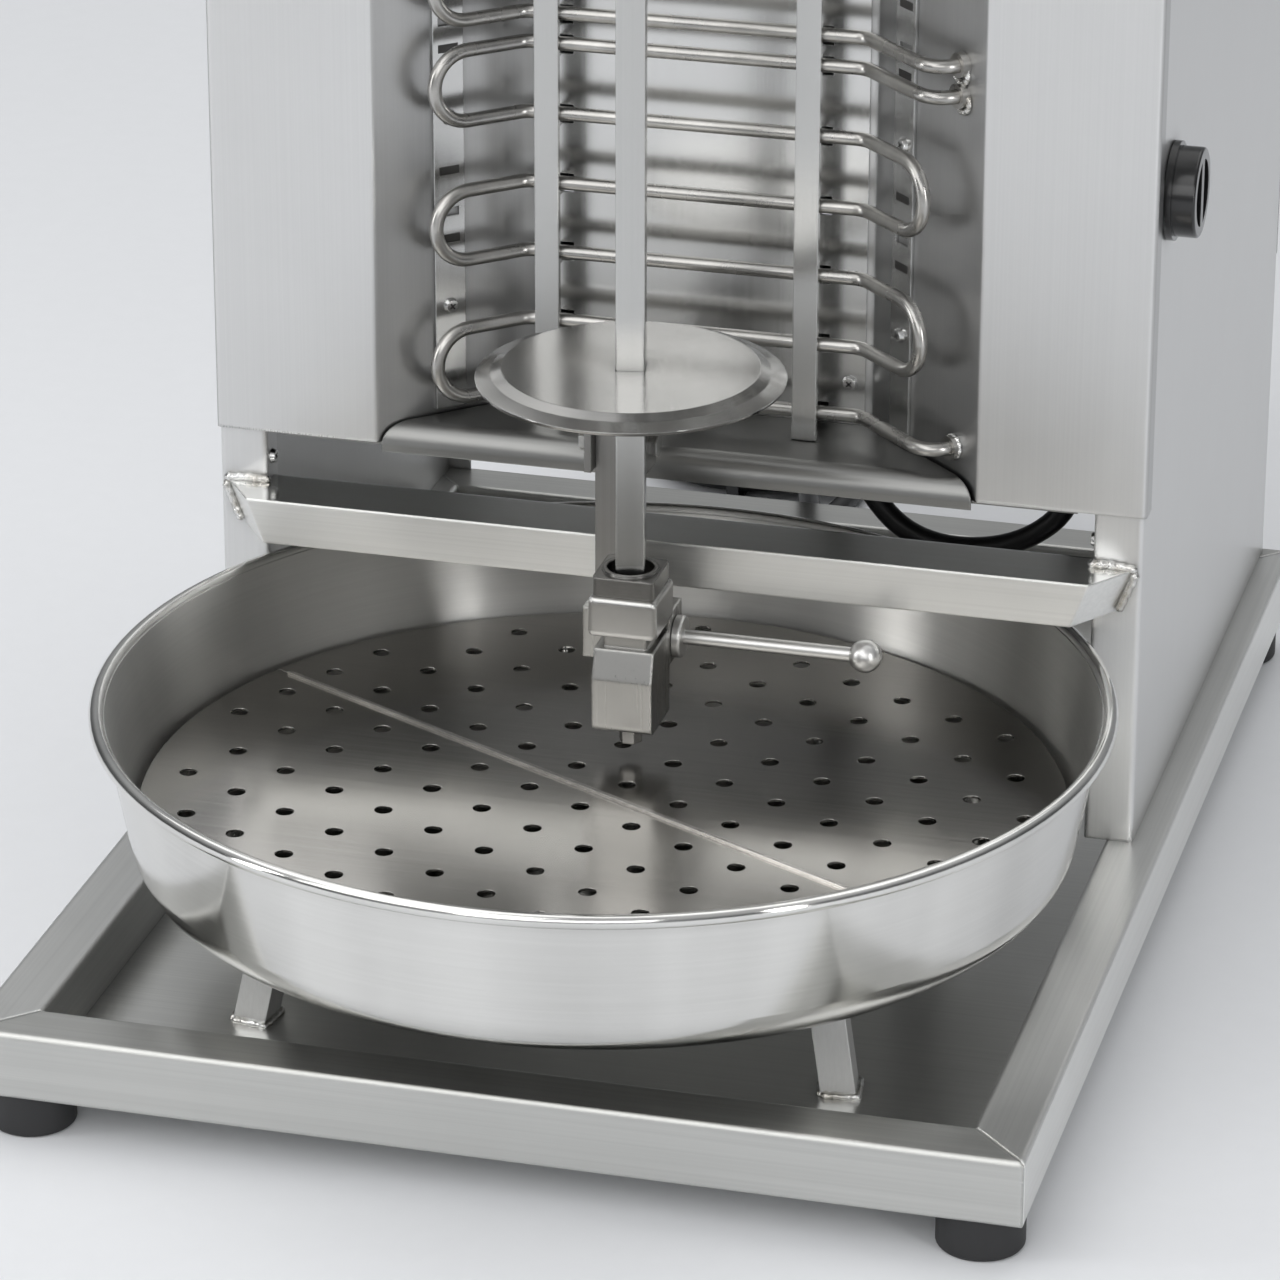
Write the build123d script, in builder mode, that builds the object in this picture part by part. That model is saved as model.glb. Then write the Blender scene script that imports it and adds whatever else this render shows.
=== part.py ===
"""Upright electric doner grill: base with drip pan, heated body, driven skewer and its lower bearing.

Millimetres, +Z up, front towards -Y. The origin is on the floor, under the middle of the whole grill.
"""
import math
import os

from build123d import *

os.makedirs("parts", exist_ok=True)

# Clearances and cuts
overrun = 5.0
rest_gap = 0.3
slip_gap = 0.15
run_gap = 0.05

# Base: mitred tube rails, sunk tray, feet
base_width = 572.0
base_depth = 840.0
base_y = 20.0
rail_width = 33.0
rail_height = 38.0
rail_wall = 2.0
rail_corner = 2.5
tray_sheet = 2.0
tray_drop = 34.0
foot_height = 25.0
foot_radius = 23.5
foot_edge = 3.0
foot_inset = 27.0
foot_recess_radius = 9.5
foot_recess_depth = 10.0
foot_head_radius = 8.5
foot_head_height = 6.0
foot_shank_radius = 4.0
foot_shank_grip = 6.0

# Drip pan on four leaning stub legs
pan_radius = 280.0
pan_height = 95.0
pan_lift = 31.0
pan_y = -161.0
pan_sheet = 1.5
pan_floor_radius = 256.0
pan_wall_inset = 7.0
pan_edge_radius = 28.0
pan_bead_radius = 4.0
stub_size = 19.0
stub_wall = 2.0
stub_foot_radius = 203.0
stub_top_radius = 188.0
stub_angle = 36.6

# Perforated drip plate in two halves
plate_radius = 255.0
plate_drop = 62.0
plate_sheet = 1.5
plate_seam_gap = 0.6
plate_seam_angle = -27.5
plate_lip_height = 1.6
plate_lip_sheet = 1.0
plate_hole_radius = 5.0
plate_hole_pitch = 38.0
plate_hole_margin = 9.0
post_radius = 5.0
post_circle_radius = 205.0
post_count = 8

# Body of folded sheet
sheet = 1.5
bend = 2.5
body_half_width = 270.0
body_front = -13.0
body_rear = 437.0
body_clearance = 198.0
leg_flange = 28.0
leg_fold = 18.0
rear_flange = 16.0
column_wrap = 15.0
chamber_half_width = 174.0
chamber_depth = 72.0
back_half_width = 98.0
back_flange = 8.0
reflector_sheet = 1.2
reflector_edge_gap = 4.0
floor_half_width = 231.0
floor_rise = 11.0
floor_lip_height = 16.0
floor_lip_bend = 12.0
floor_notch = 24.0
rear_sheet = 1.2
vent_width = 60.0
vent_height = 6.0
vent_pitch = 14.0
vent_rows = 8
cap_skirt = 20.0
cap_edge = 2.0

# Heating zones
zone_names = ("low", "mid", "top")
element_radius = 4.0
row_count = 6
row_pitch = 41.0
zone_gap = 17.5
first_row_rise = 26.0
head_room = 35.0
row_stand_off = 24.0
wall_stand_off = 19.0
turn_from_edge = 30.0
ferrule_from_edge = 22.0
element_corner = 14.0
element_entry = 14.0
element_turn_slack = 0.1
element_tail = 26.0
ferrule_radius = 7.0
ferrule_length = 4.8
bar_left_x = -84.0
bar_right_x = 66.0
bar_width = 14.0
bar_thickness = 4.0
bar_end_gap = 11.5
hook_width = 4.0
hook_height = 8.0
hook_reach = 4.0
slot_width = 14.0
slot_height = 11.0

# Strips and screws on the walls
strip_width = 19.0
strip_sheet = 2.0
strip_end_gap = 14.0
strip_left_share = 0.45
strip_right_share = 0.72
strip_slot_width = 12.0
strip_slot_height = 5.0
strip_screw_pitch = 112.0
screw_radius = 4.5
screw_height = 2.6
screw_taper = 20.0
screw_margin = 9.0
leg_bolt_drop = 19.0
rear_screw_shares = (0.05, 0.35, 0.65, 0.95)

# Crossbar between the legs
crossbar_height = 26.0
crossbar_front = 29.5
crossbar_back = 10.5
crossbar_rise = 141.0
crossbar_top_half = 244.0
crossbar_flare = 21.0
crossbar_slant = 10.0
crossbar_wall = 2.0

# Skewer, its drive and the top arm
skewer_y = -104.0
skewer_size = 16.0
skewer_corner = 1.2
skewer_turn = 11.0
skewer_foot = 232.0
tip_radius = 6.0
tip_length = 11.1
disc_radius = 85.0
disc_height = 358.0
disc_sheet = 2.0
disc_dome = 6.0
disc_flat_share = 0.83
disc_lip_share = 0.9
arm_width = 120.0
arm_height = 50.0
arm_wall = 2.0
arm_front = -170.0
arm_rear = 110.0
arm_edge = 3.0
motor_radius = 32.0
motor_height = 40.0
shaft_radius = 6.0
shaft_hole_radius = 10.0
shaft_engage = 12.0
socket_radius = 17.0
socket_drop = 11.0
socket_length = 50.0
socket_depth = 42.0
socket_grip = 15.0
socket_edge = 1.5

# Lower bearing on its hanger bar
hanger_left = -28.0
hanger_width = 26.0
hanger_thickness = 10.0
hanger_front = -76.0
hanger_foot = 158.0
pivot_height = 300.0
hanger_head = 12.0
housing_width = 39.0
housing_depth = 40.0
housing_height = 23.5
housing_foot = 204.5
housing_edge = 3.0
housing_bore_depth = 19.0
cup_size = 35.0
cup_corner = 3.0
cup_height = 11.0
cup_recess_radius = 13.2
cup_floor = 3.0
race_radius = 15.5
race_height = 1.5
thrust_ball_radius = 5.8
neck_height = 8.5
neck_inset = 5.0
clamp_width = 34.0
clamp_height = 48.5
clamp_slope_height = 17.0
clamp_slope_depth = 5.0
clamp_corner = 5.0
yoke_left = -33.0
yoke_back_wall = 8.0
yoke_drop = 30.0
block_bolt_radius = 6.5
block_bolt_height = 12.0
clamp_screw_drop = 17.5
clamp_shank_radius = 4.0
washer_radius = 12.0
washer_thickness = 5.0
rod_radius = 4.2
rod_length = 100.0
rod_socket = 6.0
lever_ball_radius = 9.3

# Bracket that carries the hanger bar
fork_sheet = 4.0
fork_height = 31.0
fork_below_pivot = 15.0
strut_height = 17.0
strut_width = 8.0
bracket_flange_width = 30.0
bracket_flange_height = 26.0
bracket_flange_sheet = 3.0
pivot_radius = 4.0
pivot_head_radius = 7.0
pivot_head_height = 5.0

# Controls on the right side
knob_y = 34.0
knob_rise = 150.0
knob_skirt_radius = 27.5
knob_skirt_depth = 4.0
knob_radius = 25.0
knob_depth = 13.0
knob_recess_radius = 18.6
knob_recess_depth = 7.0
knob_grip_width = 7.0
knob_edge = 1.5
knob_gap = 0.5
stem_radius = 3.0
stem_reach = 20.0
switch_size = 40.0
switch_depth = 28.0
rocker_y = 102.0
rocker_width = 16.0
rocker_height = 24.0
rocker_thickness = 10.0
rocker_sink = 2.0
rocker_tilt = 8.0
rocker_play = 0.8
bezel_border = 4.0
bezel_depth = 2.5
rocker_box_depth = 18.0
rocker_box_wall = 1.5
rocker_pin_radius = 1.5

# Terminal block inside and cable gland under the body
terminal_width = 70.0
terminal_depth = 28.0
terminal_height = 26.0
terminal_x = 130.0
terminal_y = 390.0
gland_x = 205.0
gland_y = 150.0
gland_radius = 14.0
gland_height = 11.0
gland_thread_radius = 10.0
gland_nut_height = 6.0
relief_length = 21.0
relief_end_radius = 8.0

# Mains cord, its coil, tie and plug
cord_radius = 6.5
cord_fill_share = 0.45
cord_route = [
    (205, 150, 253), (205, 150, 203), (165, 150, 166), (105, 150, 163), (69, 154, 200), (56, 172, 238),
    (43, 208, 250), (30, 242, 234), (20, 284, 200), (4, 338, 142), (-14, 394, 100), (-30, 446, 86),
    (-39, 488, 48), (-42, 524, 9), (-30, 592, 9), (-30, 652, 9),
]
coil_radius = 80.0
coil_step = 14.0
coil_half_turns_in = 4
coil_lead = 13.0
tie_width = 8.0
tie_sheet = 1.6
tie_gap = 0.4
plug_radius = 19.0
plug_length = 38.0
plug_boot_length = 34.0
plug_boot_radius = 8.0
plug_neck_radius = 15.0
plug_edge = 3.0
pin_radius = 2.4
pin_length = 19.0
pin_spacing = 19.0

# Levels and places that follow from the sizes above
rail_top = foot_height + rail_height
tray_top = rail_top - tray_drop
pan_foot = rail_top + pan_lift
pan_top = pan_foot + pan_height
plate_top = pan_top - plate_drop
plate_foot = plate_top - plate_sheet
column_foot = rail_top + body_clearance
zone_pitch = (row_count - 1) * row_pitch + zone_gap
zone_feet = [column_foot + first_row_rise + zone_pitch * zone for zone in range(len(zone_names))]
row_heights = [foot + row_pitch * row for foot in zone_feet for row in range(row_count)]
column_top = row_heights[-1] + head_room
column_height = column_top - column_foot
back_y = body_front + chamber_depth
reflector_y = back_y - reflector_sheet
row_y = reflector_y - row_stand_off
side_half = body_half_width - sheet
leg_y = body_front + sheet
leg_inner = side_half - leg_flange
arm_foot = column_top + sheet
socket_top = arm_foot - socket_drop
socket_foot = socket_top - socket_length
skewer_top = socket_foot + socket_grip
housing_top = housing_foot + housing_height
clamp_top = housing_foot - neck_height
clamp_foot = clamp_top - clamp_height
hanger_back = hanger_front + hanger_thickness
hanger_middle = hanger_left + hanger_width / 2
hanger_y = hanger_front + hanger_thickness / 2
screw_axis_z = housing_foot - clamp_screw_drop
yoke_right = clamp_width / 2
crossbar_foot = rail_top + crossbar_rise
knob_heights = [foot + knob_rise for foot in zone_feet]
foot_places = [
    (side * (base_width / 2 - foot_inset), base_y + end * (base_depth / 2 - foot_inset))
    for side in (-1, 1) for end in (-1, 1)
]


def keep(builder, name):
    """Label one finished piece and write its file."""
    builder.part.label = name
    export_step(builder.part, f"parts/{name}.step")


def folded(points, thickness, radius, side):
    """Fill the section of a folded sheet, whose seen face runs along the points."""
    with BuildLine() as outline:
        FilletPolyline(*points, radius=radius)
        offset(amount=thickness, side=side)
    make_face(outline.edges())


def rail(name, outward, reach, length):
    """One tube rail of the base, mitred at both ends."""
    along = outward.cross(Vector(0, 0, 1))
    section = Plane(origin=outward * reach + Vector(0, base_y, foot_height), x_dir=outward, z_dir=along)
    with BuildPart() as bar:
        with BuildSketch(section):
            with Locations((-rail_width / 2, rail_height / 2)):
                RectangleRounded(rail_width, rail_height, rail_corner)
                Rectangle(rail_width - 2 * rail_wall, rail_height - 2 * rail_wall, mode=Mode.SUBTRACT)
        extrude(amount=length / 2, both=True)
        for end in (-1, 1):
            tip = section.origin + along * (end * length / 2)
            split(bisect_by=Plane(origin=tip, z_dir=along * end - outward), keep=Keep.BOTTOM)
        with BuildSketch(Plane.XY.offset(foot_height + rail_wall + overrun)):
            with Locations(*foot_places):
                Circle(foot_shank_radius + slip_gap)
        extrude(amount=-(rail_wall + 2 * overrun), mode=Mode.SUBTRACT)
    keep(bar, name)


# Base
rail("rail_front", Vector(0, -1, 0), base_depth / 2, base_width)
rail("rail_rear", Vector(0, 1, 0), base_depth / 2, base_width)
rail("rail_left", Vector(-1, 0, 0), base_width / 2, base_depth)
rail("rail_right", Vector(1, 0, 0), base_width / 2, base_depth)

with BuildPart() as base_tray:
    with BuildSketch(Plane(origin=(0, base_y, tray_top))):
        Rectangle(base_width - 2 * rail_width, base_depth - 2 * rail_width)
    extrude(amount=-tray_sheet)
keep(base_tray, "base_tray")

with BuildPart() as rubber_feet:
    with BuildSketch():
        with Locations(*foot_places):
            Circle(foot_radius)
    extrude(amount=foot_height)
    fillet(rubber_feet.edges().group_by(Axis.Z)[0], foot_edge)
    with Locations(*[(x, y, foot_height) for x, y in foot_places]):
        Hole(foot_shank_radius + slip_gap, foot_height)
    with BuildSketch():
        with Locations(*foot_places):
            Circle(foot_recess_radius)
    extrude(amount=foot_recess_depth, mode=Mode.SUBTRACT)
keep(rubber_feet, "rubber_feet")

with BuildPart() as foot_screws:
    with BuildSketch(Plane.XY.offset(foot_recess_depth)):
        with Locations(*foot_places):
            Circle(foot_head_radius)
    extrude(amount=-foot_head_height)
    with BuildSketch(Plane.XY.offset(foot_recess_depth)):
        with Locations(*foot_places):
            Circle(foot_shank_radius)
    extrude(amount=foot_height - foot_recess_depth + rail_wall + foot_shank_grip)
keep(foot_screws, "foot_screws")

# Stub legs lean in towards the pan's axis and end level under it
stub_angles = (stub_angle, 180 - stub_angle, 180 + stub_angle, -stub_angle)
with BuildPart() as pan_legs:
    for angle in stub_angles:
        ray = Vector(math.cos(math.radians(angle)), math.sin(math.radians(angle)), 0)
        foot_point = Vector(0, pan_y, 0) + ray * stub_foot_radius
        rise = pan_foot - rest_gap - tray_top
        lean = ray * (stub_top_radius - stub_foot_radius) + Vector(0, 0, rise)
        with BuildSketch(Plane.XY.offset(tray_top)):
            with Locations((foot_point.X, foot_point.Y)):
                Rectangle(stub_size, stub_size, rotation=angle + 45)
                inner_size = stub_size - 2 * stub_wall
                Rectangle(inner_size, inner_size, rotation=angle + 45, mode=Mode.SUBTRACT)
        extrude(amount=lean.length, dir=lean.normalized())
keep(pan_legs, "pan_legs")

# Drip pan
pan_axis = Axis((0, pan_y, 0), (0, 0, 1))
pan_plane = Plane(origin=(0, pan_y, 0), x_dir=(1, 0, 0), z_dir=(0, -1, 0))
bead_height = pan_top - pan_bead_radius
with BuildPart() as drip_pan:
    with BuildSketch(pan_plane):
        pan_line = ((0, pan_foot), (pan_floor_radius, pan_foot), (pan_radius - pan_wall_inset, bead_height))
        folded(pan_line, pan_sheet, pan_edge_radius, Side.LEFT)
        with Locations((pan_radius - pan_bead_radius, bead_height)):
            Circle(pan_bead_radius)
    revolve(axis=pan_axis)
keep(drip_pan, "drip_pan")

with BuildPart() as plate_posts:
    with BuildSketch(Plane(origin=(0, pan_y, pan_foot + pan_sheet))):
        with PolarLocations(post_circle_radius, post_count, start_angle=180 / post_count):
            Circle(post_radius)
    extrude(amount=plate_foot - rest_gap - pan_foot - pan_sheet)
keep(plate_posts, "plate_posts")


def drip_plate(name, side):
    """One half of the perforated plate; side is -1 in front of the seam and 1 behind it."""
    seam = math.radians(plate_seam_angle)
    ground = Plane(origin=(0, pan_y, plate_foot), x_dir=(math.cos(seam), math.sin(seam), 0), z_dir=(0, 0, 1))
    reach = int(plate_radius / plate_hole_pitch) + 1
    holes = [
        (column * plate_hole_pitch, side * (row + 0.5) * plate_hole_pitch)
        for column in range(-reach, reach + 1) for row in range(reach)
    ]
    safe = plate_radius - plate_hole_radius - plate_hole_margin
    align = (Align.CENTER, Align.MIN if side > 0 else Align.MAX)
    with BuildPart() as half:
        with BuildSketch(ground):
            Circle(plate_radius)
            with Locations((0, side * plate_seam_gap / 2)):
                Rectangle(2 * plate_radius, plate_radius, align=align, mode=Mode.INTERSECT)
            with Locations(*[hole for hole in holes if math.hypot(*hole) < safe]):
                Circle(plate_hole_radius, mode=Mode.SUBTRACT)
        extrude(amount=plate_sheet)
        with BuildSketch(ground.offset(plate_sheet)):
            with Locations((0, side * plate_seam_gap / 2)):
                Rectangle(2 * (plate_radius - plate_hole_margin), plate_lip_sheet, align=align)
        extrude(amount=plate_lip_height)
    keep(half, name)


drip_plate("drip_plate_front", -1)
drip_plate("drip_plate_rear", 1)


def side_panel(name, hand):
    """A side sheet with its folded front leg and rear flange; hand is -1 left and 1 right."""
    line = [
        (hand * (side_half - rear_flange), body_rear), (hand * side_half, body_rear), (hand * side_half, leg_y),
        (hand * leg_inner, leg_y), (hand * leg_inner, leg_y + leg_fold),
    ]
    with BuildPart() as panel:
        with BuildSketch(Plane.XY.offset(rail_top)):
            folded(line, sheet, bend, Side.RIGHT if hand > 0 else Side.LEFT)
        extrude(amount=column_top - rail_top)
        if hand > 0:
            with BuildSketch(Plane.YZ.offset(side_half + overrun)):
                with Locations(*[(knob_y, height) for height in knob_heights]):
                    Circle(stem_radius + knob_gap)
                with Locations((rocker_y, knob_heights[-1])):
                    Rectangle(rocker_width + 2 * bezel_border, rocker_height + 2 * bezel_border)
            extrude(amount=-(sheet + 2 * overrun), mode=Mode.SUBTRACT)
    keep(panel, name)


side_panel("side_left", -1)
side_panel("side_right", 1)

# The splayed chamber wall on the right: its front corner, its run and its normal into the column
wall_corner = Vector(chamber_half_width, body_front, 0)
wall_span = Vector(back_half_width - chamber_half_width, chamber_depth, 0)
wall_run = wall_span.normalized()
wall_normal = Vector(wall_run.Y, -wall_run.X, 0)
ferrule_heights = [height for foot in zone_feet for height in (foot, foot + (row_count - 1) * row_pitch)]


def on_hand(point, hand):
    """Mirror a point of the right side to the left when hand is -1."""
    return Vector(hand * point.X, point.Y, point.Z)


def column(name, hand):
    """A column front with its side wrap, splayed chamber wall and rear flange."""
    line = [
        (hand * body_half_width, body_front + column_wrap), (hand * body_half_width, body_front),
        (hand * chamber_half_width, body_front), (hand * back_half_width, back_y),
        (hand * (back_half_width - back_flange), back_y),
    ]
    with BuildPart() as front:
        with BuildSketch(Plane.XY.offset(column_foot)):
            folded(line, sheet, bend, Side.RIGHT if hand > 0 else Side.LEFT)
        extrude(amount=column_height)
        if hand > 0:
            for height in ferrule_heights:
                mouth = wall_corner + wall_run * ferrule_from_edge + Vector(0, 0, height)
                with BuildSketch(Plane(origin=mouth - wall_normal * overrun, z_dir=wall_normal)):
                    Circle(element_radius + rest_gap)
                extrude(amount=sheet + 2 * overrun, mode=Mode.SUBTRACT)
    keep(front, name)


column("column_left", -1)
column("column_right", 1)

# Hooks under every element row hold it to the flat bars and reach through slots in the reflector
hook_top = [height - element_radius - rest_gap for height in row_heights]
hook_places = [(x, top) for x in (bar_left_x, bar_right_x) for top in hook_top]
reflector_half = back_half_width - reflector_edge_gap
with BuildPart() as back_reflector:
    with BuildSketch(Plane.XZ.offset(-back_y)):
        with Locations((0, column_foot + column_height / 2)):
            Rectangle(2 * reflector_half, column_height)
        with Locations(*[(x, top - hook_height / 2) for x, top in hook_places]):
            Rectangle(slot_width, slot_height, mode=Mode.SUBTRACT)
    extrude(amount=reflector_sheet)
keep(back_reflector, "back_reflector")

bar_back = row_y - element_radius - rest_gap
bar_length = column_height - sheet - 2 * bar_end_gap
with BuildPart() as element_bars:
    with BuildSketch(Plane.XZ.offset(-bar_back)):
        with Locations(*[(x, column_foot + bar_end_gap + bar_length / 2) for x in (bar_left_x, bar_right_x)]):
            Rectangle(bar_width, bar_length)
    extrude(amount=bar_thickness)
keep(element_bars, "element_bars")

with BuildPart() as element_hooks:
    with BuildSketch(Plane.XZ.offset(-bar_back)):
        with Locations(*[(x, top - hook_height / 2) for x, top in hook_places]):
            Rectangle(hook_width, hook_height)
    extrude(amount=-(back_y + hook_reach - bar_back))
keep(element_hooks, "element_hooks")


def beside_wall(along, hand, height):
    """A point of the element's line beside the splayed wall."""
    spot = wall_corner + wall_run * along - wall_normal * wall_stand_off
    return on_hand(spot, hand) + Vector(0, 0, height)


def heater(name, foot):
    """One bent tubular element: rows across the back, turns along both walls, both ends in the right wall."""
    corner_along = (row_y - body_front + wall_normal.Y * wall_stand_off) / wall_run.Y
    heights = [foot + row_pitch * row for row in reversed(range(row_count))]
    turn_radius = row_pitch / 2 - element_turn_slack
    mouth = wall_corner + wall_run * ferrule_from_edge + wall_normal * element_tail
    points = [mouth + Vector(0, 0, heights[0]), beside_wall(ferrule_from_edge, 1, heights[0])]
    radii = [element_entry]
    hand = 1
    for row, height in enumerate(heights):
        points += [beside_wall(corner_along, hand, height), beside_wall(corner_along, -hand, height)]
        radii += [element_corner, element_corner]
        hand = -hand
        if row < row_count - 1:
            points += [beside_wall(turn_from_edge, hand, level) for level in heights[row:row + 2]]
            radii += [turn_radius, turn_radius]
    points += [beside_wall(ferrule_from_edge, 1, foot), mouth + Vector(0, 0, foot)]
    radii.append(element_entry)
    with BuildPart() as tube:
        with BuildLine():
            FilletPolyline(*points, radius=radii)
        with BuildSketch(Plane(origin=points[0], z_dir=-wall_normal)):
            Circle(element_radius)
        sweep()
    keep(tube, name)


for zone, foot in zip(zone_names, zone_feet):
    heater(f"heater_{zone}", foot)

with BuildPart() as heater_ferrules:
    for height in ferrule_heights:
        mouth = wall_corner + wall_run * ferrule_from_edge + Vector(0, 0, height)
        with BuildSketch(Plane(origin=mouth, z_dir=-wall_normal)):
            Circle(ferrule_radius)
            Circle(element_radius + slip_gap, mode=Mode.SUBTRACT)
        extrude(amount=ferrule_length)
keep(heater_ferrules, "heater_ferrules")

# Mounting strips on both chamber walls, with screws and slots between them
strip_length = column_height - 2 * strip_end_gap
strip_middle = column_foot + column_height / 2
strip_screw_count = int(strip_length / strip_screw_pitch)
strip_screw_rises = [
    (number - (strip_screw_count - 1) / 2) * strip_screw_pitch for number in range(strip_screw_count)
]


def wall_plane(hand, share):
    """A plane on a chamber wall, facing into the chamber, at a share of the wall's width."""
    spot = on_hand(wall_corner + wall_span * share, hand)
    return Plane(origin=spot + Vector(0, 0, strip_middle), x_dir=on_hand(wall_run, hand),
                 z_dir=on_hand(-wall_normal, hand))


strip_planes = [wall_plane(-1, strip_left_share), wall_plane(1, strip_right_share)]
with BuildPart() as wall_strips:
    for plane in strip_planes:
        with BuildSketch(plane):
            Rectangle(strip_width, strip_length)
            with Locations(*[(0, rise + strip_screw_pitch / 2) for rise in strip_screw_rises[:-1]]):
                Rectangle(strip_slot_width, strip_slot_height, mode=Mode.SUBTRACT)
        extrude(amount=strip_sheet)
keep(wall_strips, "wall_strips")

# Body floor, chamber floor with its rolled front lip, chamber ceiling and rear cover
with BuildPart() as body_floor:
    floor_front = leg_y + rest_gap
    floor_rear = body_rear - sheet - rest_gap
    notch_y = leg_y + floor_notch
    with BuildSketch(Plane.XY.offset(column_foot)):
        with Locations((0, (floor_front + floor_rear) / 2)):
            Rectangle(2 * floor_half_width, floor_rear - floor_front)
        with Locations((0, (notch_y + floor_rear) / 2)):
            Rectangle(2 * (side_half - sheet - rest_gap), floor_rear - notch_y)
        with Locations((gland_x, gland_y)):
            Circle(gland_thread_radius + slip_gap, mode=Mode.SUBTRACT)
    extrude(amount=-sheet)
keep(body_floor, "body_floor")

chamber_slope = (chamber_half_width - back_half_width) / chamber_depth
chamber_rear = reflector_y - rest_gap
mouth_half = chamber_half_width - bend - rest_gap
rear_half = mouth_half - chamber_slope * (chamber_rear - body_front)
chamber_outline = [
    (-mouth_half, body_front), (mouth_half, body_front),
    (rear_half, chamber_rear), (-rear_half, chamber_rear),
]
chamber_floor_top = column_foot + floor_rise
with BuildPart() as chamber_floor:
    lip_line = [
        (chamber_rear, chamber_floor_top), (body_front, chamber_floor_top),
        (body_front, chamber_floor_top - floor_lip_height),
    ]
    with BuildSketch(Plane.YZ):
        folded(lip_line, sheet, floor_lip_bend, Side.LEFT)
    extrude(amount=chamber_half_width, both=True)
    with BuildSketch(Plane.XY.offset(chamber_floor_top + overrun)):
        Polygon(*chamber_outline, align=None)
    extrude(amount=-(floor_lip_height + 2 * overrun), mode=Mode.INTERSECT)
keep(chamber_floor, "chamber_floor")

with BuildPart() as chamber_ceiling:
    with BuildSketch(Plane.XY.offset(column_top)):
        Polygon(*chamber_outline, align=None)
    extrude(amount=-sheet)
keep(chamber_ceiling, "chamber_ceiling")

with BuildPart() as rear_cover:
    with BuildSketch(Plane.XZ.offset(-body_rear)):
        with Locations((0, column_foot + column_height / 2)):
            Rectangle(2 * side_half, column_height)
            with GridLocations(0, vent_pitch, 1, vent_rows):
                SlotOverall(vent_width, vent_height, mode=Mode.SUBTRACT)
    extrude(amount=-rear_sheet)
keep(rear_cover, "rear_cover")

# Screws: heads on the strips, the reflector and the rear cover, bolts inside the legs
rear_face = body_rear + rear_sheet
screw_planes = [
    Plane(origin=plane.origin + plane.z_dir * strip_sheet + Vector(0, 0, rise), z_dir=plane.z_dir)
    for plane in strip_planes for rise in strip_screw_rises
]
screw_planes += [
    Plane(origin=(x * (reflector_half - screw_margin), reflector_y, height), z_dir=(0, -1, 0))
    for x in (-1, 1) for height in (column_foot + 4 * screw_margin, column_top - 2 * screw_margin)
]
screw_planes += [
    Plane(origin=(x * (side_half - screw_margin), rear_face, column_foot + column_height * share),
          z_dir=(0, 1, 0))
    for x in (-1, 1) for share in rear_screw_shares
]
screw_planes += [
    Plane(origin=(x * leg_inner, leg_y + leg_fold / 2, column_foot - leg_bolt_drop), z_dir=(-x, 0, 0))
    for x in (-1, 1)
]
with BuildPart() as panel_screws:
    for plane in screw_planes:
        with BuildSketch(plane):
            Circle(screw_radius)
        extrude(amount=screw_height, taper=screw_taper)
keep(panel_screws, "panel_screws")

# Crossbar: a channel open at the rear, slanted at both ends, in front of and between the legs
crossbar_middle = crossbar_foot + crossbar_height / 2
with BuildPart() as crossbar:
    for depth, flare in ((0, crossbar_flare), (crossbar_front, 0)):
        with BuildSketch(Plane.XZ.offset(depth - leg_y)):
            top_half = crossbar_top_half + flare
            foot_half = top_half - crossbar_slant
            Polygon((-top_half, crossbar_foot + crossbar_height), (top_half, crossbar_foot + crossbar_height),
                    (foot_half, crossbar_foot), (-foot_half, crossbar_foot), align=None)
    loft(ruled=True)
    with BuildSketch(Plane.XZ.offset(-leg_y)):
        with Locations((0, crossbar_middle)):
            Rectangle(2 * (leg_inner - rest_gap), crossbar_height)
    extrude(amount=-crossbar_back)
    with BuildSketch(Plane.XZ.offset(-leg_y - crossbar_back - overrun)):
        with Locations((0, crossbar_middle)):
            Rectangle(2 * (crossbar_top_half - crossbar_slant - crossbar_height),
                      crossbar_height - 2 * crossbar_wall)
    extrude(amount=crossbar_front + crossbar_back + overrun - crossbar_wall, mode=Mode.SUBTRACT)
keep(crossbar, "crossbar")

# Top cover over the body, and the arm that carries the drive over the skewer
cap_half = body_half_width + slip_gap + sheet
cap_front = body_front - slip_gap - sheet
cap_rear = rear_face + screw_height + slip_gap
with BuildPart() as top_cover:
    cap_depth = cap_rear - cap_front
    with BuildSketch(Plane.XY.offset(column_top + sheet)):
        with Locations((0, cap_front + cap_depth / 2)):
            Rectangle(2 * cap_half, cap_depth)
    extrude(amount=-(cap_skirt + sheet))
    fillet(top_cover.edges().filter_by(Axis.Z), cap_edge)
    with BuildSketch(Plane.XY.offset(column_top)):
        with Locations((0, cap_front + cap_depth / 2)):
            Rectangle(2 * (cap_half - sheet), cap_depth - 2 * sheet)
    extrude(amount=-(cap_skirt + overrun), mode=Mode.SUBTRACT)
keep(top_cover, "top_cover")

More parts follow.
